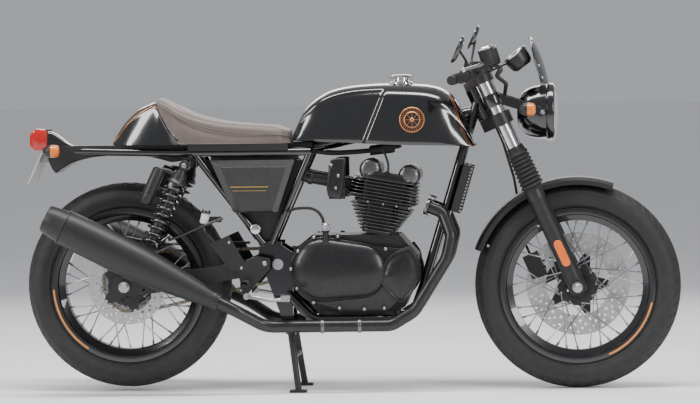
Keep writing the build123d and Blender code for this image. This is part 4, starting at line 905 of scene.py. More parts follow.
covers = Batch()
covers.rings([hull_ring(COVER_SLAB, shrink, y) for shrink, y in (
    (0, -CASE_Y), (0, -COVER_FACE + 3), (1, -COVER_FACE + 1), (3, -COVER_FACE))])
dome = []
for k in range(17):       # steep at its edge and nearly flat in the middle
    share = (k / 16) ** 1.6
    height = DOME_DEPTH * (1 - (1 - share) ** 1.7) ** (1 / 1.7)
    dome.append(hull_ring(COVER_DOME, (COVER_DOME[1][2] - 6) * share, -(COVER_FACE - 1 + height)))
covers.rings(dome)
covers.rings(drawn_in(closed_line(FRONT_COVER, 6), (152, 366), FRONT_STEPS))
bolts = Batch()
for x, z in COVER_BOLTS:
    covers.bar((x, -COVER_FACE - 1.5, z), (x, -CASE_Y - 6, z), 9.0, 20)
    bolts.knob((x, -COVER_FACE - 1.4, z), (0, -1, 0), 5.0, 5.0, 20, 0.2)
covers.mirrored().build("cover_shells", "engine", look="cover_black", angle=50, solid="engine_covers")
bolts.mirrored().build("cover_bolts", "engine", look="steel", angle=30)

# Oil filler: a neck on the right cover, and its ridged cap
FILLER_X, FILLER_Y = -75, -116
filler = Batch().turn([(12, 0), (11, 8), (9.5, 14), (9.5, 66), (13, 68), (13, 72)],
                      along((FILLER_X, FILLER_Y, 428), (0, 0, 1)), steps=32)
filler.build("filler_neck", "engine")
filler = Batch()
for x, y in circle(FILLER_X, FILLER_Y, 11.5, 18):
    filler.bar((x, y, 499), (x, y, 517), 2.3, 8)
filler.turn([(0, 25), (9, 25), (12, 22), (12, 0), (0, 0)], along((FILLER_X, FILLER_Y, 496), (0, 0, 1)), 32)
filler.build("filler_cap_oil", "engine", look="steel")


def fin(batch, low_x, high_x, half_y, corner, z, thick):
    """A cooling fin with round corners and a slightly tapered edge."""
    centres = ((high_x - corner, half_y - corner), (low_x + corner, half_y - corner),
               (low_x + corner, corner - half_y), (high_x - corner, corner - half_y))
    rows = []
    for inset, level in ((1.2, z), (0.0, z + 0.25 * thick), (0.0, z + 0.75 * thick), (1.2, z + thick)):
        ring = []
        for quarter, (x, y) in enumerate(centres):
            for k in range(7):
                a = radians(90 * quarter + 15 * k)
                ring.append((x + (corner - inset) * cos(a), y + (corner - inset) * sin(a), level))
        rows.append(ring)
    batch.rings(rows, place=ENGINE)


FIN_PITCH, FIN_T = 10.5, 2.8
HEAD_Z, ROCKER_Z = 98, 196
ROCKER_X = (-50.0, 72.0)
barrels = Batch()
for row in ((-46, 48, 108, 20, 4, 96), (-64, 74, 112, 16, 100, 80), (-84, 92, 116, 20, 96, 8),
            (-50, 66, 106, 14, 178, 16)):
    fin(barrels, *row)
barrels.build("barrel_cores", "engine", angle=40, solid="cylinders")
fins = Batch()
for k in range(8):
    fin(fins, -(54 + 6.0 * k), 58 + 6.0 * k, 122, 40, 12 + FIN_PITCH * k, FIN_T)
for k in range(7):
    fin(fins, -110 + 2 * k, 112 - k, 127, 42, 107 + FIN_PITCH * k, FIN_T)
fins.build("fins", "engine", look="fin_edge", angle=40)
rocker, studs = Batch(), Batch()
rocker_end = [(0, 106), (16, 105.4), (26, 103), (32, 97), (34, 88)]
for x in ROCKER_X:
    rocker.turn(rocker_end + [(r, -h) for r, h in rocker_end[::-1]],
                ENGINE @ turned((x, 0, ROCKER_Z), pi / 2, "X"), steps=48)
    for dx, dz in ((-24, 24), (24, 24), (0, -20)):
        studs.knob(ENGINE @ Vector((x + dx * 0.8, -104.0, ROCKER_Z + dz * 0.8)), (0, -1, 0), 4.5, 4.0)
rocker.build("rocker_domes", "engine", look="rocker_metal", angle=45)
for x in (-82, -40, 8, 50, 90):
    studs.knob(ENGINE @ Vector((x, -117.0, HEAD_Z)), (0, -1, 0), 4.0, 5.0)
port = Vector((238.0, -95.0, 570.0))
port_way = (port - Vector((182.0, -87.0, 591.0))).normalized()
for turn in SIDES:
    spot = port + Vector((0, 1, 0)).cross(port_way).normalized() * 27 * turn
    studs.bar(spot - port_way * 10, spot + port_way * 14, 4.0)
studs.mirrored().build("engine_studs", "engine", look="steel", angle=32)
ring = Batch().turn([(20, -3), (26, -3), (27, -1), (27, 6), (25, 8), (20.5, 8)], along(port, port_way),
                    40, True)
ring.mirrored().build("port_rings", "engine", look="fin_edge")

# Plug lead and breather hose on the right, then coils, their leads and the loom
lead = Batch()
lead.pipe(spline([(100, -88, 754), (108, -94, 738), (119, -108, 708), (121, -112, 690), (118, -106, 672),
                  (112, -96, 655)]), 3.6)
lead.pipe([(118, -106, 676), (112, -95, 656)], [7.0, 6.0])
lead.pipe(spline([(-198, -93, 556), (-170, -88, 566), (-139, -88, 568), (-118, -94, 566), (-99, -98, 556),
                  (-86, -100, 538), (-82, -100, 522)]), 4.5)
lead.build("plug_lead", "engine", look="rubber_black", angle=60)
coils = Batch()
for side in SIDES:
    coils.bar((60, side * 38, 742), (132, side * 38, 750), 15, 28)
    for points, radius in (([(132, 38, 750), (150, 60, 752), (134, 84, 755), (100, 88, 754)], 3.6),
                           ([(-120, 40, 744), (-60, 46, 736), (10, 44, 738), (60, 38, 742)], 7.0)):
        coils.pipe(spline([(x, side * y, z) for x, y, z in points]), radius)
coils.build("coils_and_loom", "engine", look="rubber_black", angle=40)

# Throttle covers over the intake stubs
COVER_LINE = [(-58, 714), (-48, 720), (-18, 722), (-14, 712), (-17, 650), (-27, 600), (-36, 596), (-62, 603),
              (-68, 612), (-70, 650)]
outline = closed_line(COVER_LINE, 5)
centre = [sum(p[k] for p in outline) / len(outline) for k in (0, 1)]
throttle = Batch().rings(drawn_in(outline, centre, (
    (1.0, -84.0), (1.0, -110.0), (0.97, -112.0), (0.90, -114.0), (0.6, -115.0))))
throttle.turn([(20.5, 0), (22, 4), (22, 10), (20.5, 14)], along((-132, -55.6, 662), (1, 0.02, -0.12)), 36)
throttle.mirrored().build("throttle_covers", "intake", look="cover_black", angle=45)
screws = Batch()
for x, z in ((-34, 667), (-42, 629), (-56, 700)):
    screws.knob((x, -114.6, z), (0, -1, 0), 4.6, 3.4, 16)
screws.mirrored().build("throttle_screws", "intake", look="steel", angle=32)

# Exhaust: smooth megaphone silencers with bands, and clamps on the headers
SILENCER_START = Vector((-400.0, -214.0, 286.0))
SILENCER_END = Vector((-928.0, -226.0, 550.0))
length = (SILENCER_END - SILENCER_START).length
place = along(SILENCER_START, SILENCER_END - SILENCER_START)
body = smooth([(24.8, 0), (25.4, 6), (26.4, 22), (31, 52), (39, 112), (48, 180), (55, 246), (57.6, 300),
               (58, 350), (57.6, 400), (56.6, length - 120), (54.6, length - 74)], 4)
end = [(52.4, -62), (51, -58), (48, -30), (43, -3), (41, 0), (38.5, -0.5), (36.8, -7), (16, -8), (14, -9),
       (14, -46), (0, -46)]
shell = Batch().turn([(19.6, 28), (19.6, 0)] + body + [(r, length + h) for r, h in end], place, steps=72)
shell.mirrored().build("silencer_shells", "exhaust", look="pipe_black", angle=38, solid="silencers")
bands = Batch()
for h, r, wide in ((10, 26.4, 12), (length - 66, 54.6, 5)):
    bands.turn([(r - 2, h), (r + 0.8, h), (r + 1.4, h + 1.5), (r + 1.4, h + wide - 1.5), (r + 0.8, h + wide),
                (r - 2, h + wide)], place, 72, True)
bands.mirrored().build("silencer_bands", "exhaust", look="pipe_black", angle=38)
HEADER_START, HEADER_WAY = Vector((128, -144, 207)), Vector((386, 28, 0))
clamps = Batch()
for x in (29.0, -85.0):
    clamps.turn([(18.6, -5), (21.4, -5), (22, -4), (22, 4), (21.4, 5), (18.6, 5)],
                along(HEADER_START + HEADER_WAY * ((x - HEADER_START.x) / HEADER_WAY.x), HEADER_WAY), 40, True)
clamps.mirrored().build("header_clamps", "exhaust", look="fin_edge", angle=38)

# Side panels: a satin face with deep bevels and two plain gold lines
PANEL_OUT = [(-431, 718), (-169, 718), (-222, 560), (-230, 556), (-354, 556), (-362, 560)]
PANEL_IN = [(-398, 697), (-196, 697), (-238, 566), (-242, 562), (-340, 562), (-344, 566)]
PANEL_STEPS = ((PANEL_OUT, -106.5), (PANEL_OUT, -109.0), (PANEL_IN, -118.5), (PANEL_IN, -119.5))
panel = Batch().rings([[(x, y, z) for x, z in shape] for shape, y in PANEL_STEPS])
panel.mirrored().build("panel_faces", "black_part", look="panel_satin", angle=25, bevel=1.2,
                       solid="side_panels")
lines = Batch()
for x0, x1, z, w in ((-368, -250, 636, 3.0), (-362, -256, 624, 1.6)):
    lines.box((x0, x1), (-120.4, -119.0), (z - w / 2, z + w / 2))
lines.mirrored().build("panel_lines", "black_part", look="gold", angle=30)

# Oil cooler: a core of fins between two tanks, ahead of the down tubes
DOWN_LOW = Vector((292.0, 0.0, 548.0))
COOLER_HALF = 80
CORE_FINS, FIN_STEP, TOOTH_STEP, TOOTH_Y = 14, 10.9, 10.3, 87.6
down_way = fork_point(-10.5, 0, 641.4) - DOWN_LOW
COOLER_PLACE = turned(DOWN_LOW, atan2(down_way.x, down_way.z))
cooler, teeth = Batch(), Batch()
for side in SIDES:
    cooler.box((15.3, 45.3), sorted((side * COOLER_HALF, side * (COOLER_HALF + 8))), (12, 162), COOLER_PLACE)
for k in range(CORE_FINS):
    cooler.box((16, 44.6), (-COOLER_HALF, COOLER_HALF), (13 + FIN_STEP * k, 16.4 + FIN_STEP * k), COOLER_PLACE)
    for side in SIDES:
        teeth.box((40, 45.2), (side * TOOTH_Y - 1.2, side * TOOTH_Y + 1.2),
                  (17.5 + TOOTH_STEP * k, 22.5 + TOOTH_STEP * k), COOLER_PLACE)
cooler.box((24, 36), (-COOLER_HALF, COOLER_HALF), (13, 161), COOLER_PLACE)
cooler.build("cooler_core", "cooler", angle=30, bevel=0.5, solid="oil_cooler")
teeth.build("cooler_teeth", "cooler", look="bright_metal", angle=30)

# Right side fittings: brake reservoir, its hose, and the cover disc under the panel
POT_LEAN = (0.25, 0, 1)
pot = Batch().turn([(0, 0), (10, 0), (13, 3), (13, 30), (11, 33), (0, 33)],
                   along((-452, -128, 524), POT_LEAN), 32)
pot.build("rear_reservoir", "black_part", look="dial_white", angle=40)
pipes = Batch()
pipes.turn([(13.4, 0), (13.8, 1), (13.8, 9), (12, 11), (0, 11)], along((-444, -128, 556), POT_LEAN), 32)
pipes.pipe(spline([(-454, -128, 524), (-448, -130, 500), (-420, -132, 470), (-396, -134, 430)]), 3.6)
pipes.pipe(spline([(-390, -136, 541), (-457, -140, 516), (-512, -140, 492), (-560, -137, 474)]), 4.0)
pipes.box((-448, -396), (-126, -118), (528, 546))
pipes.build("rear_brake_pipes", "black_part", look="gloss_black", angle=50)
discs = Batch()
for side in SIDES:
    discs.turn([(0, 4), (12, 4), (15, 2.4), (15, -8)], across((-293, side * 108, 505), side), 40)
    discs.box((-297, -289), sorted((side * 60, side * 108)), (501, 509))
discs.build("side_discs", "axle", look="bright_metal")

# Painted shade: matt black boxes fill the gaps between the rails, under the saddle and behind the tank, so that
# the pale floor doesn't show through them
shade_boxes = Batch().box((-432, -172), (-82, 82), (716, 729.5)).box((-190, -118), (-56, 56), (754.5, 771))
shade_boxes.build("underseat_shade_boxes", "black_part", look="matt_black", angle=30, bevel=1.0)

# Front end, on the fork: bellows, sliders, caps and reflectors
FORK_PLACE = Matrix(((cos(RAKE), 0, -sin(RAKE), STEER_X), (0, 1, 0, 0), (sin(RAKE), 0, cos(RAKE), STEER_Z),
                     (0, 0, 0, 1)))
FORK_UP, FORK_BACK = (-sin(RAKE), 0, cos(RAKE)), (-cos(RAKE), 0, -sin(RAKE))
LEG_PLACE = FORK_PLACE @ Matrix.Translation((FORK_OFFSET, -LEG_Y, 0))
SLIDER_TOP = 325.0
STANCHION_R, STANCHION_TOP = 20.5, 742.0
GAITER_LOW, GAITER_HIGH = 325.3, 462.0
RIBS = 9
RIB_STEPS = 6
profile = [(STANCHION_R + 0.5, GAITER_LOW), (29, GAITER_LOW), (29.6, GAITER_LOW + 2), (29.6, GAITER_LOW + 8)]
rib_low, rib_high = GAITER_LOW + 10, GAITER_HIGH - 9
for k in range(RIBS * RIB_STEPS + 1):
    share = k / (RIBS * RIB_STEPS)
    wave = 0.5 - 0.5 * cos(2 * pi * share * RIBS)
    profile.append((28.0 - 3.0 * share + (6.6 - 1.0 * share) * wave ** 0.7,
                    rib_low + (rib_high - rib_low) * share))
profile += [(25, GAITER_HIGH - 7), (25, GAITER_HIGH - 1), (24.4, GAITER_HIGH),
            (STANCHION_R + 0.5, GAITER_HIGH)]
gaiters = Batch().turn(profile, LEG_PLACE, 48, True)
gaiters.mirrored().build("gaiters", "gaiter", "fork", angle=50, solid="fork_gaiters")
sliders = Batch()
sliders.turn([(22, -20), (26, -12), (27, -4), (27.3, 30), (27.2, SLIDER_TOP - 32), (28.8, SLIDER_TOP - 26),
              (29, SLIDER_TOP - 4), (28, SLIDER_TOP)], LEG_PLACE, 56)
sliders.turn([(21.0, 463), (23.5, 463), (23.5, 470), (21.0, 470)], LEG_PLACE, 40, True)
sliders.mirrored().build("slider_skins", "fork", "fork", look="engine_black", angle=40)
tops = Batch().turn([(20.6, STANCHION_TOP - 1), (20.4, STANCHION_TOP + 2), (19, STANCHION_TOP + 4),
                     (0, STANCHION_TOP + 4)], LEG_PLACE, 40)
tops.knob(LEG_PLACE @ Vector((0, 0, STANCHION_TOP + 4)), FORK_UP, 12, 7)
for z_low, z_high in ((472, 547), (587, 609.5), (650.5, 689.5)):
    tops.turn([(20.75, z_low), (20.75, z_high)], LEG_PLACE, 40)
tops.mirrored()
tops.knob(FORK_PLACE @ Vector((0, 0, 712.3)), FORK_UP, 17, 12)
tops.knob((FRONT_AXLE.x, -146, FRONT_AXLE.z), (0, -1, 0), 13, 8)
tops.knob(LEG_PLACE @ Vector((-30, 0, 3)), FORK_BACK, 5, 5)
tops.build("fork_caps", "axle", "fork", look="bright_metal", angle=32)
REFLECTOR_R, REFLECTOR_HALF = 13, 30
shape = [(x, z + (REFLECTOR_HALF if z > 0 else -REFLECTOR_HALF)) for x, z in circle(0, 0, REFLECTOR_R, 32)]
reflector = Batch().rings(
    [[(x * f, z * (43 * f + (1 - f) * 20) / 43, y) for x, z in shape] for f, y in (
        (1, 0), (1, 4.5), (0.94, 6.0), (0.5, 6.3))],
    place=FORK_PLACE @ turned((FORK_OFFSET, -LEG_Y - 26, 115), pi / 2, "X"))
reflector.mirrored().build("fork_reflectors", "indicator", "fork", look="reflector_orange", angle=40)

# Headlamp: smooth bowl, rim, ears and a fluted lens
LAMP = fork_point(168.1, 0, 531.2)
LAMP_PLACE = along(LAMP, (1, 0, 0))
FLUTES = 96
bowl = Batch()
back = smooth([(8, -84), (30, -82), (55, -72), (73, -50), (82, -20), (84, 8)], 5)
bowl.turn([(0, -84.5)] + back, LAMP_PLACE, 72)
bowl.turn([(84, 8), (87, 9), (89, 12), (89, 28), (87.5, 30.6), (84, 32), (82, 31), (82, 26), (84, 26)],
          LAMP_PLACE, 72)
ear_low = FORK_PLACE @ Vector((FORK_OFFSET + 15, 0, 630))
ear = [(ear_low.x, ear_low.z + 18), (ear_low.x, ear_low.z - 14), (LAMP.x - 6, LAMP.z - 14),
       (LAMP.x + 6, LAMP.z + 8), (LAMP.x - 8, LAMP.z + 16)]
bowl.prism(ear, -96, -91).prism(ear, 91, 96)
lamp_bolts = Batch()
for side in SIDES:
    bowl.turn([(20.9, 610), (26, 610), (26.5, 611), (26.5, 649), (26, 650), (20.9, 650)],
              FORK_PLACE @ Matrix.Translation((FORK_OFFSET, side * LEG_Y, 0)), 40, True)
    bowl.bar((LAMP.x - 4, side * 92, LAMP.z), (LAMP.x - 4, side * 82, LAMP.z), 9)
    lamp_bolts.knob((LAMP.x - 4, side * 96, LAMP.z), (0, side, 0), 8, 5)
bowl.build("headlamp_bowl", "black_part", "fork", look="gloss_black", angle=40, bevel=0.5, solid="headlamp")
rows = stack([(81.6, 26.6), (81.6, 32), (76, 35.5), (64, 39.6), (45, 43), (24, 45.2), (6, 46)], FLUTES)
for row in rows[2:]:      # every second point inside the rim is drawn in
    for k in range(1, FLUTES, 2):
        row[k] = (row[k][0] - 0.5 * cos(2 * pi * k / FLUTES), *row[k][1:])
lens = Batch().rings(rows, caps=False, place=LAMP_PLACE)
lens.turn([(6, 46), (0, 46.2)], LAMP_PLACE, FLUTES)
lens.build("lamp_lens", "lamp_glass", "fork", angle=30, solid="headlamp_lens")
dish = Batch().turn([(81.8, 27), (79, 16), (70, -4), (54, -24), (34, -38), (16, -44), (0, -46)], LAMP_PLACE, 72)
dish.build("lamp_dish", "lamp_glass", "fork", look="chrome", angle=60)
bulb = Batch().turn([(8, -46), (8, -12), (13, -8), (13, 14), (10, 20), (0, 22)], LAMP_PLACE, 36)
bulb.build("lamp_bulb", "lamp_glass", "fork", look="bright_metal", angle=40)
lamp_bolts.turn([(80.6, 33.4), (82.6, 33.6), (83.4, 32.4)], LAMP_PLACE, 72)
lamp_bolts.build("lamp_bolts", "axle", "fork", look="bright_metal")

# Clocks: two pods with bright bezels, dark dials, pale marks and needles
CLOCK_AT = fork_point(157.8, 0, 732.9)
CLOCK_TILT = radians(37.6)
CLOCK_Y = 46
MARKS, FIRST_MARK, MARK_STEP = 11, 50, 26     # marks on a dial, in degrees
CLOCK_WAY = Vector((-sin(CLOCK_TILT), 0, cos(CLOCK_TILT)))
pods, bezels, dials, marks = Batch(), Batch(), Batch(), Batch()
for side in SIDES:
    place = turned((CLOCK_AT.x, side * CLOCK_Y, CLOCK_AT.z), -CLOCK_TILT)
    pods.turn([(0, -50)] + smooth([(24, -50), (33, -42), (37.5, -22), (39, -7)], 4), place, 56)
    bezels.turn([(39, -7), (41, -5), (41.2, 0), (40, 2.5), (37, 3), (36, 1)], place, 56)
    dials.turn([(36.2, 0.6), (0, 0.6)], place, 48)
    for k in range(MARKS):
        turn = Matrix.Rotation(radians(FIRST_MARK + MARK_STEP * k), 4, "Z")
        marks.box((29, 33.5), (-0.7, 0.7), (0.7, 1.2), place @ turn)
    needle = Matrix.Rotation(radians(FIRST_MARK), 4, "Z")
    marks.box((-5, 27), (-0.8, 0.8), (1.2, 2.0), place @ needle)
    marks.knob(place @ Vector((0, 0, 0.7)), CLOCK_WAY, 4, 1.8, 24)
pods.box((-15, 15), (-52, 52), (-46, -13), turned(CLOCK_AT, -CLOCK_TILT))
pods.box((17, 160), (-20, 20), (712.3, 718), FORK_PLACE)
pods.build("clock_pods", "clock", "fork", angle=40, bevel=0.8, solid="clocks")
bezels.build("clock_bezels", "clock", "fork", look="bright_metal", angle=50)
dials.build("clock_dials", "clock", "fork", look="rim_black", angle=30)
marks.build("clock_marks", "clock", "fork", look="dial_white", angle=30)

# Flyscreen: one curved sheet with six screws
SCREEN = [(231.8, 757.9), (233.8, 703.4), (227.9, 645.8), (220.4, 606.9)]
SCREEN_WRAP, SCREEN_T = 24.0, 3.0
SCREEN_HALF, SCREEN_TOP_HALF = 94, 62
screen_line = spline([fork_point(x - 2, 0, z - 2) for x, z in SCREEN], 6)
top_z, low_z = screen_line[0].z, screen_line[-1].z
rows = []
for point in screen_line:
    share = (point.z - low_z) / (top_z - low_z)
    widening = min(1.0, max(0.0, (0.96 - share) / 0.42)) ** 0.8
    half = SCREEN_TOP_HALF + (SCREEN_HALF - SCREEN_TOP_HALF) * widening
    half -= 6 * max(0.0, share - 0.8) / 0.2 + 3 * max(0.0, 0.15 - share) / 0.15
    across_it = [half * (j / 12 - 1) for j in range(25)]
    rows.append([(point.x - SCREEN_WRAP * (y / SCREEN_HALF) ** 2, y, point.z) for y in across_it])
sheet = Batch().rings(rows, closed=False, caps=False)
sheet = sheet.build("screen_sheet", "screen", "fork", angle=60, solid="flyscreen")
thickness = sheet.modifiers.new("thickness", "SOLIDIFY")
thickness.thickness = SCREEN_T * MM
thickness.offset = 0.0
screws = Batch()
for at, y in ((2, 60), (10, 80), (15, 80)):
    for side in SIDES:
        back = SCREEN_WRAP * (y / SCREEN_HALF) ** 2
        spot = (screen_line[at].x - back + 1, side * y, screen_line[at].z)
        screws.knob(spot, (1, side * 0.5, 0), 4.0, 3.6, 20)
screws.build("screen_screws", "screen", "fork", look="bright_metal")

# Bars, grips and controls
CLAMP = fork_point(FORK_OFFSET, 0, 726.3)
BAR_START = Vector((CLAMP.x - 8, -LEG_Y - 18, CLAMP.z))
BAR_END = fork_point(-40, -356, 735.1)
LEVER_TIP = fork_point(6, -334, 748.8)
BAR_LENGTH = (BAR_END - BAR_START).length
BAR_PLACE = along(BAR_START, (BAR_END - BAR_START).normalized())
BAR_R = 11.0
# places along the bar, as shares of its length
BODY_FROM, PUMP_AT, SWITCH_AT, MIRROR_AT, BODY_TO, GRIP_FROM = 0.2, 0.29, 0.36, 0.40, 0.44, 0.46
GRIP_RIBS = 22


def on_bar(share):
    return BAR_START + (BAR_END - BAR_START) * share


bars = Batch().turn([(20.8, 712.4), (28.5, 712.4), (29.5, 714), (29.5, 738), (28.5, 740.2), (20.8, 740.2)],
                    LEG_PLACE, 48, True)
bars.bar(BAR_START, on_bar(GRIP_FROM), BAR_R, 32)
bars.turn([(r, BAR_LENGTH + h) for r, h in (
    (11, -14), (13.5, -14), (14.5, -12), (14.5, -2), (13, 0), (0, 0))], BAR_PLACE, 36)
bars.mirrored().build("bar_tubes", "bar", "fork", angle=40, solid="handlebars")
grip_low, grip_high = BAR_LENGTH * GRIP_FROM, BAR_LENGTH - 14.2
profile = [(BAR_R, grip_low), (16.3, grip_low), (16.5, grip_low + 3), (14.8, grip_low + 5)]
for k in range(GRIP_RIBS):
    h = grip_low + 6 + (grip_high - grip_low - 10) * k / GRIP_RIBS
    profile += [(14.4, h), (15.6, h + 1), (15.6, h + 3.6), (14.4, h + 4.4)]
profile += [(15.5, grip_high - 2), (15.5, grip_high), (BAR_R, grip_high)]
grips = Batch().turn(profile, BAR_PLACE, 32)
grips.mirrored().build("bar_grips", "bar", "fork", look="rubber_black", angle=30)
pump = on_bar(PUMP_AT)
POT_WAY = Vector((-0.31, 0, 0.95))
pot_at = Vector((pump.x + 64, pump.y, pump.z + 32))
low, high = BAR_LENGTH * BODY_FROM, BAR_LENGTH * BODY_TO
controls = Batch().turn([(11.2, low), (20, low), (22, low + 3), (22, high - 3), (20, high), (11.2, high)],
                        BAR_PLACE, 36, True)
controls.box((pump.x - 4, pump.x + 30), (pump.y - 14, pump.y + 14), (pump.z + 8, pump.z + 30))
controls.box((pump.x + 10, pump.x + 62), (pump.y - 19, pump.y + 19), (pump.z + 12, pump.z + 40))
controls.turn([(0, -6), (20, -6), (24, 0), (25, 20), (25, 45)], along(pot_at, POT_WAY), 40)
controls.mirrored().build("control_bodies", "control", "fork", angle=40, bevel=2.0, solid="hand_controls")
lids = Batch().turn([(25.6, 45), (26, 46), (26, 51), (24, 53.4), (0, 53.8)], along(pot_at, POT_WAY), 40)
for dy in (-12, 12):
    lids.knob(pot_at + POT_WAY * 53 + Vector((0, dy, 0)), POT_WAY, 3.4, 1.6, 16)
lids.mirrored().build("pot_lids", "control", "fork", look="bright_metal")
pivot = Vector((pump.x + 40, pump.y - 10, pump.z + 32))
lever_line = spline([pivot + Vector((-14, 8, 0)), pivot + Vector((4, -14, 0)),
                     pivot.lerp(LEVER_TIP, 0.35) + Vector((8, 0, 0)),
                     pivot.lerp(LEVER_TIP, 0.7) + Vector((3, 0, 0)), LEVER_TIP], 6)
levers = Batch().pipe(lever_line, [6.6 - 1.8 * k / (len(lever_line) - 1) for k in range(len(lever_line))], 14)
ball = [(7.6 * sin(pi * k / 12), -7.6 * cos(pi * k / 12)) for k in range(1, 12)]
levers.turn([(0, -7.6)] + ball + [(0, 7.6)], Matrix.Translation(LEVER_TIP), 24)
levers.mirrored().build("hand_levers", "control", "fork", look="bright_metal", angle=60)
switches = Batch().box((-6, 6), (-5, 5), (19, 26), turned(on_bar(SWITCH_AT), radians(-60)))
switches.mirrored().build("bar_switches", "control", "fork", look="red_lens", bevel=1.0)

# Mirrors: thin round shells on bent stems, with glass on the rider's side
# side, how far ahead and how far up in the fork frame
MIRRORS = [(-1, 16.8, 810.9), (1, 54.2, 835.9)]
MIRROR_Y, STEM_END_Y = 327, 320
MIRROR_TURN = radians(-65.0)
shells, stems, glass = Batch(), Batch(), Batch()
stem_at = on_bar(MIRROR_AT)
for side, ahead, up in MIRRORS:
    head = fork_point(ahead, 0, up)
    place = turned((head.x, side * MIRROR_Y, head.z), MIRROR_TURN)
    shells.turn([(0, -9), (18, -8.8), (31, -7.4), (41, -3.6), (44.6, 0.5), (45, 3), (44.4, 5), (42, 5),
                 (42, 3.6)], place)
    glass.turn([(42, 3.8), (0, 3.8)], place)
    low = Vector((stem_at.x, -side * stem_at.y, stem_at.z + 24.2))
    bend = Vector((stem_at.x, -side * (stem_at.y - 14), stem_at.z + 44))
    end = Vector((head.x + 6, side * STEM_END_Y, head.z - 6))
    stems.pipe(spline([low, low.lerp(bend, 0.8), bend.lerp(end, 0.12), end], 6), 3.9, 16)
    stems.knob(low, (0, 0, 1), 8, 12)
    stems.knob(low + Vector((0, 0, 12)), (0, 0, 1), 6, 5, 24)
shells.build("mirror_shells", "mirror", "fork", look="gloss_black", angle=40, solid="mirrors")
stems.build("mirror_stems", "mirror", "fork", angle=50)
glass.build("mirror_faces", "mirror", "fork", look="chrome", angle=40)


def bullets(at, stalk_to, body, solid):
    """Bullet indicators on both sides: amber shell, black back and stalk."""
    amber, backs = Batch(), Batch()
    shell = smooth([(0.5, 27), (12, 25.4), (18.4, 19.5), (20, 8), (19.6, 0)], 4)
    back = smooth([(20.0, -0.5), (17, -12), (9, -23.4), (0.5, -26)], 4)
    for side in SIDES:
        x, y, z = at[0], side * at[1], at[2]
        place = along((x, y, z), (1, 0, 0))
        amber.turn(shell + [(19.2, -1), (0, -1)], place, 36)
        backs.turn([(0, 0), (19.8, 0)] + back, place, 36)
        backs.bar((x - 6, y, z), (x - 6, side * stalk_to, z), 6.0)
    amber.build(body + "_indicator_lenses", "indicator", body, angle=45, solid=solid)
    backs.build(body + "_indicator_backs", "black_part", body, angle=45)


front_lamp = fork_point(126.5, 0, 560.7)
bullets((front_lamp.x, 134, front_lamp.z), 96.3, "fork", "front_indicators")

# Mudguard and caliper bolts
guard_bolts = Batch()
for x, z in ((FRONT_AXLE.x - 120, 505), (FRONT_AXLE.x - 275, 445)):
    for side in SIDES:
        guard_bolts.knob((x, side * 62, z), (0, side, 0), 5, 5)
guard_bolts.build("guard_bolts", "axle", "fork", look="bright_metal", angle=32)
low, high = limits("front_caliper")
mid = (low + high) / 2
caliper = Batch()
for side in SIDES:
    caliper.knob((mid.x - 8 * side, high.y - 1, mid.z - 26 * side), (0, 1, 0), 7, 5)
    caliper.turn([(12, -1), (12, 2), (10, 4), (0, 4)],
                 along((mid.x, high.y, mid.z - 14.4 * side), (0, 1, 0)), 32)
caliper.build("caliper_bolts", "caliper", "fork", look="bright_metal")

# Rear lamp and indicators
LAMP_OUTLINE = [(-945.6, 819), (-984, 821), (-1000, 806), (-1003, 798), (-1003, 768), (-998, 760),
                (-985, 751.5), (-945.6, 754)]
tail = Batch().rings(drawn_in(LAMP_OUTLINE, (-975.0, 786.0), (
    (0.86, -47.6), (0.96, -45.5), (1, -41), (1, 41), (0.96, 45.5), (0.86, 47.6))))
tail.build("tail_lens", "tail_lamp", angle=32, bevel=1.0, solid="tail_lamp")
base = Batch().box((-953, -945.5), (-46.5, 46.5), (753, 820))
base.build("tail_lamp_base", "black_part", angle=30, bevel=2.0)
bullets((-925, 118, 752), 76, "chassis", "rear_indicators")

# Chain: side plates and rollers, one link after another round both sprockets
CHAIN_PITCH = 15.875
CHAIN_Y = 92.0
REAR_TEETH, FRONT_TEETH = 38, 15
PLATE_R, PLATE_WAIST = 5.6, 3.9
INNER_PLATE, OUTER_PLATE = (4.6, 6.0), (6.2, 7.6)     # both faces, from the chain's middle
PIN_FROM, PIN_TO, PIN_R, ROLLER_R = 4.4, 8.2, 2.5, 4.2
REAR_SHAFT, OUTPUT_SHAFT = Vector((REAR_AXLE.x, 0, REAR_AXLE.z)), Vector((-135.0, 0, 400.0))
rear_pitch = CHAIN_PITCH / 2 / sin(pi / REAR_TEETH)
front_pitch = CHAIN_PITCH / 2 / sin(pi / FRONT_TEETH)
run = OUTPUT_SHAFT - REAR_SHAFT
lap = atan2(rear_pitch - front_pitch, (run.length ** 2 - (rear_pitch - front_pitch) ** 2) ** 0.5)
straight = run.length * cos(lap)
front_arc = (pi - 2 * lap) * front_pitch
loop_length = 2 * straight + front_arc + (pi + 2 * lap) * rear_pitch
links = 2 * round(loop_length / CHAIN_PITCH / 2)
top = atan2(run.z, run.x) + pi / 2 - lap
low_side = atan2(run.z, run.x) - pi / 2 + lap


def heading(angle):
    return Vector((cos(angle), 0, sin(angle)))


def on_chain(distance):
    """A point of the loop, from the top of the rear sprocket forward."""
    s = distance % loop_length
    if s < straight:
        return REAR_SHAFT + heading(top) * rear_pitch + heading(top - pi / 2) * s
    s -= straight
    if s < front_arc:
        return OUTPUT_SHAFT + heading(top - s / front_pitch) * front_pitch
    s -= front_arc
    if s < straight:
        return OUTPUT_SHAFT + heading(low_side) * front_pitch + heading(low_side - pi / 2) * s
    return REAR_SHAFT + heading(low_side - (s - straight) / rear_pitch) * rear_pitch


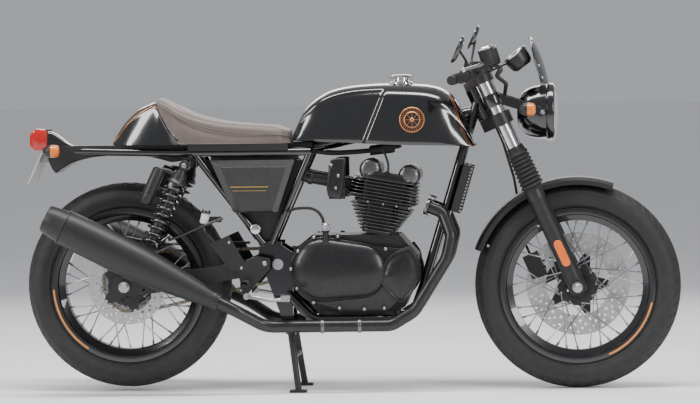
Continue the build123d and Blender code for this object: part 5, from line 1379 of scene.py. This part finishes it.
side_plates, chain_pins = Batch(), Batch()
for k in range(links):
    a, b = on_chain(loop_length * k / links), on_chain(loop_length * (k + 1) / links)
    way = (b - a).normalized()
    up = Vector((-way.z, 0, way.x))
    length = (b - a).length
    outline = []
    for at, start, waist in ((length, -90, PLATE_WAIST), (0, 90, -PLATE_WAIST)):
        for j in range(7):
            t = radians(start + 30 * j)
            outline.append((at + PLATE_R * cos(t), PLATE_R * sin(t)))
        outline.append((length * 0.5, waist))
    for side in SIDES:
        side_plates.rings([[a + way * p + up * q + Vector((0, CHAIN_Y + side * y, 0)) for p, q in outline]
                           for y in (INNER_PLATE if k % 2 else OUTER_PLATE)])
        ends = [a + Vector((0, CHAIN_Y + side * y, 0)) for y in (PIN_FROM, PIN_TO)]
        chain_pins.bar(*ends, PIN_R, 10)
    distance = loop_length * k / links
    on_straight = distance < straight or straight + front_arc < distance < 2 * straight + front_arc
    if on_straight and (a - REAR_SHAFT).length > rear_pitch + 9:
        ends = [a + Vector((0, CHAIN_Y + y, 0)) for y in (-PIN_FROM, PIN_FROM)]
        chain_pins.bar(*ends, ROLLER_R, 12)
side_plates.build("chain_plates", "chain", solid="chain")
chain_pins.build("chain_pins", "chain", look="steel")

# Rear sprocket bolts, axle nuts and the bolts of the frame's plates
bolts = Batch()
for x, z in circle(REAR_AXLE.x, REAR_AXLE.z, 62, 6, 0.3):
    bolts.knob((x, 96.2, z), (0, 1, 0), 7, 5)
bolts.build("sprocket_bolts", "sprocket", "rear_wheel", look="bright_metal", angle=32)
# x, y, z, radius, height
SIDE_BOLTS = [(REAR_AXLE.x, 152, REAR_AXLE.z, 15, 9), (-371, 146, 466, 5, 4), (-334, 146, 387, 5, 4),
              (-262, 146, 400, 8, 5), (-508, 150, 704, 9, 6)]
bolts = Batch()
for side in SIDES:
    for x, y, z, radius, height in SIDE_BOLTS:
        bolts.knob((x, side * y, z), (0, side, 0), radius, height)
bolts.build("side_bolts", "axle", look="bright_metal", angle=32)

# Footrests: ribbed rubber on the pegs, knurled pad on the pedals
PEG_AT = (-318, -152, 338)
PEG_RIBS, GRIP_STEP = 12, 5.6
profile = [(11.1, 0), (13, 0), (13, 3)]
for k in range(PEG_RIBS):
    profile += [(r, h + GRIP_STEP * k) for r, h in ((12.2, 5), (13, 6), (13, 8.6), (12.2, 9.6))]
pegs = Batch().turn(profile + [(13, 74), (12, 76), (0, 76)], along(PEG_AT, (0, -1, 0)), 28)
pegs.mirrored().build("peg_rubbers", "black_part", look="rubber_black")
pads = Batch()
for k in range(5):
    pads.box((-206 + GRIP_STEP * k, -203.4 + GRIP_STEP * k), (-210, -174), (303.6, 306))
pads.mirrored().build("pedal_grips", "axle", look="steel", angle=30, bevel=0.4)

# Tail tray: the inner guard under the seat loop, hollowed over the wheel
TRAY_TOP = 767.3
TRAY_HALF = 75
TRAY_LINE = [(-944, 752), (-940, 722), (-920, 684), (-900, 696), (-862, 716), (-815, 729), (-768, 734),
             (-700, 735), (-628, 731), (-585, 722), (-551, 714), (-500, 722)]
rows = []
for x, z in smooth(TRAY_LINE, 5):
    half = [(x, -TRAY_HALF, TRAY_TOP), (x, -TRAY_HALF, z + 4), (x, 4 - TRAY_HALF, z)]
    rows.append(half + mirror(half)[::-1])
Batch().rings(rows).build("tray_skin", "black_part", solid="tail_tray")
board = Batch().prism(((-1001, 658), (-965.5, 738), (-963, 737), (-998.5, 657)), -86, 86)
board.build("plate_face", "board", angle=30, bevel=0.6)

# Lamp housing: x, top, half width, from the lamp forward to the tray
HOUSING = [(-945.4, 813, 44), (-932, 810, 45), (-914, 800, 46), (-896, 786, 47), (-880, 773, 48),
           (-868, 767.6, 48)]
HOUSING_LOW = 766
rows = []
for x, top_z, half in HOUSING:
    r = min(9.0, (top_z - HOUSING_LOW) * 0.45)
    side = [(x, -half, HOUSING_LOW), (x, -half, top_z - r), (x, -half + 0.3 * r, top_z - 0.3 * r),
            (x, -half + r, top_z)]
    rows.append(side + mirror(side)[::-1])
Batch().rings(rows).build("lamp_housing", "black_part", look="gloss_black", angle=45)

# Floor
FLOOR = 80.0
floor_mesh = bpy.data.meshes.new("floor")
floor_mesh.from_pydata([(-FLOOR, -FLOOR, 0), (FLOOR, -FLOOR, 0), (FLOOR, FLOOR, 0), (-FLOOR, FLOOR, 0)], [],
                       [(0, 1, 2, 3)])
floor = add_object("floor", floor_mesh)
floor_mesh.materials.append(finish("floor_pale", (0.92, 0.92, 0.93), 0.8, grain=40, bump=0.0, tint=0.02))
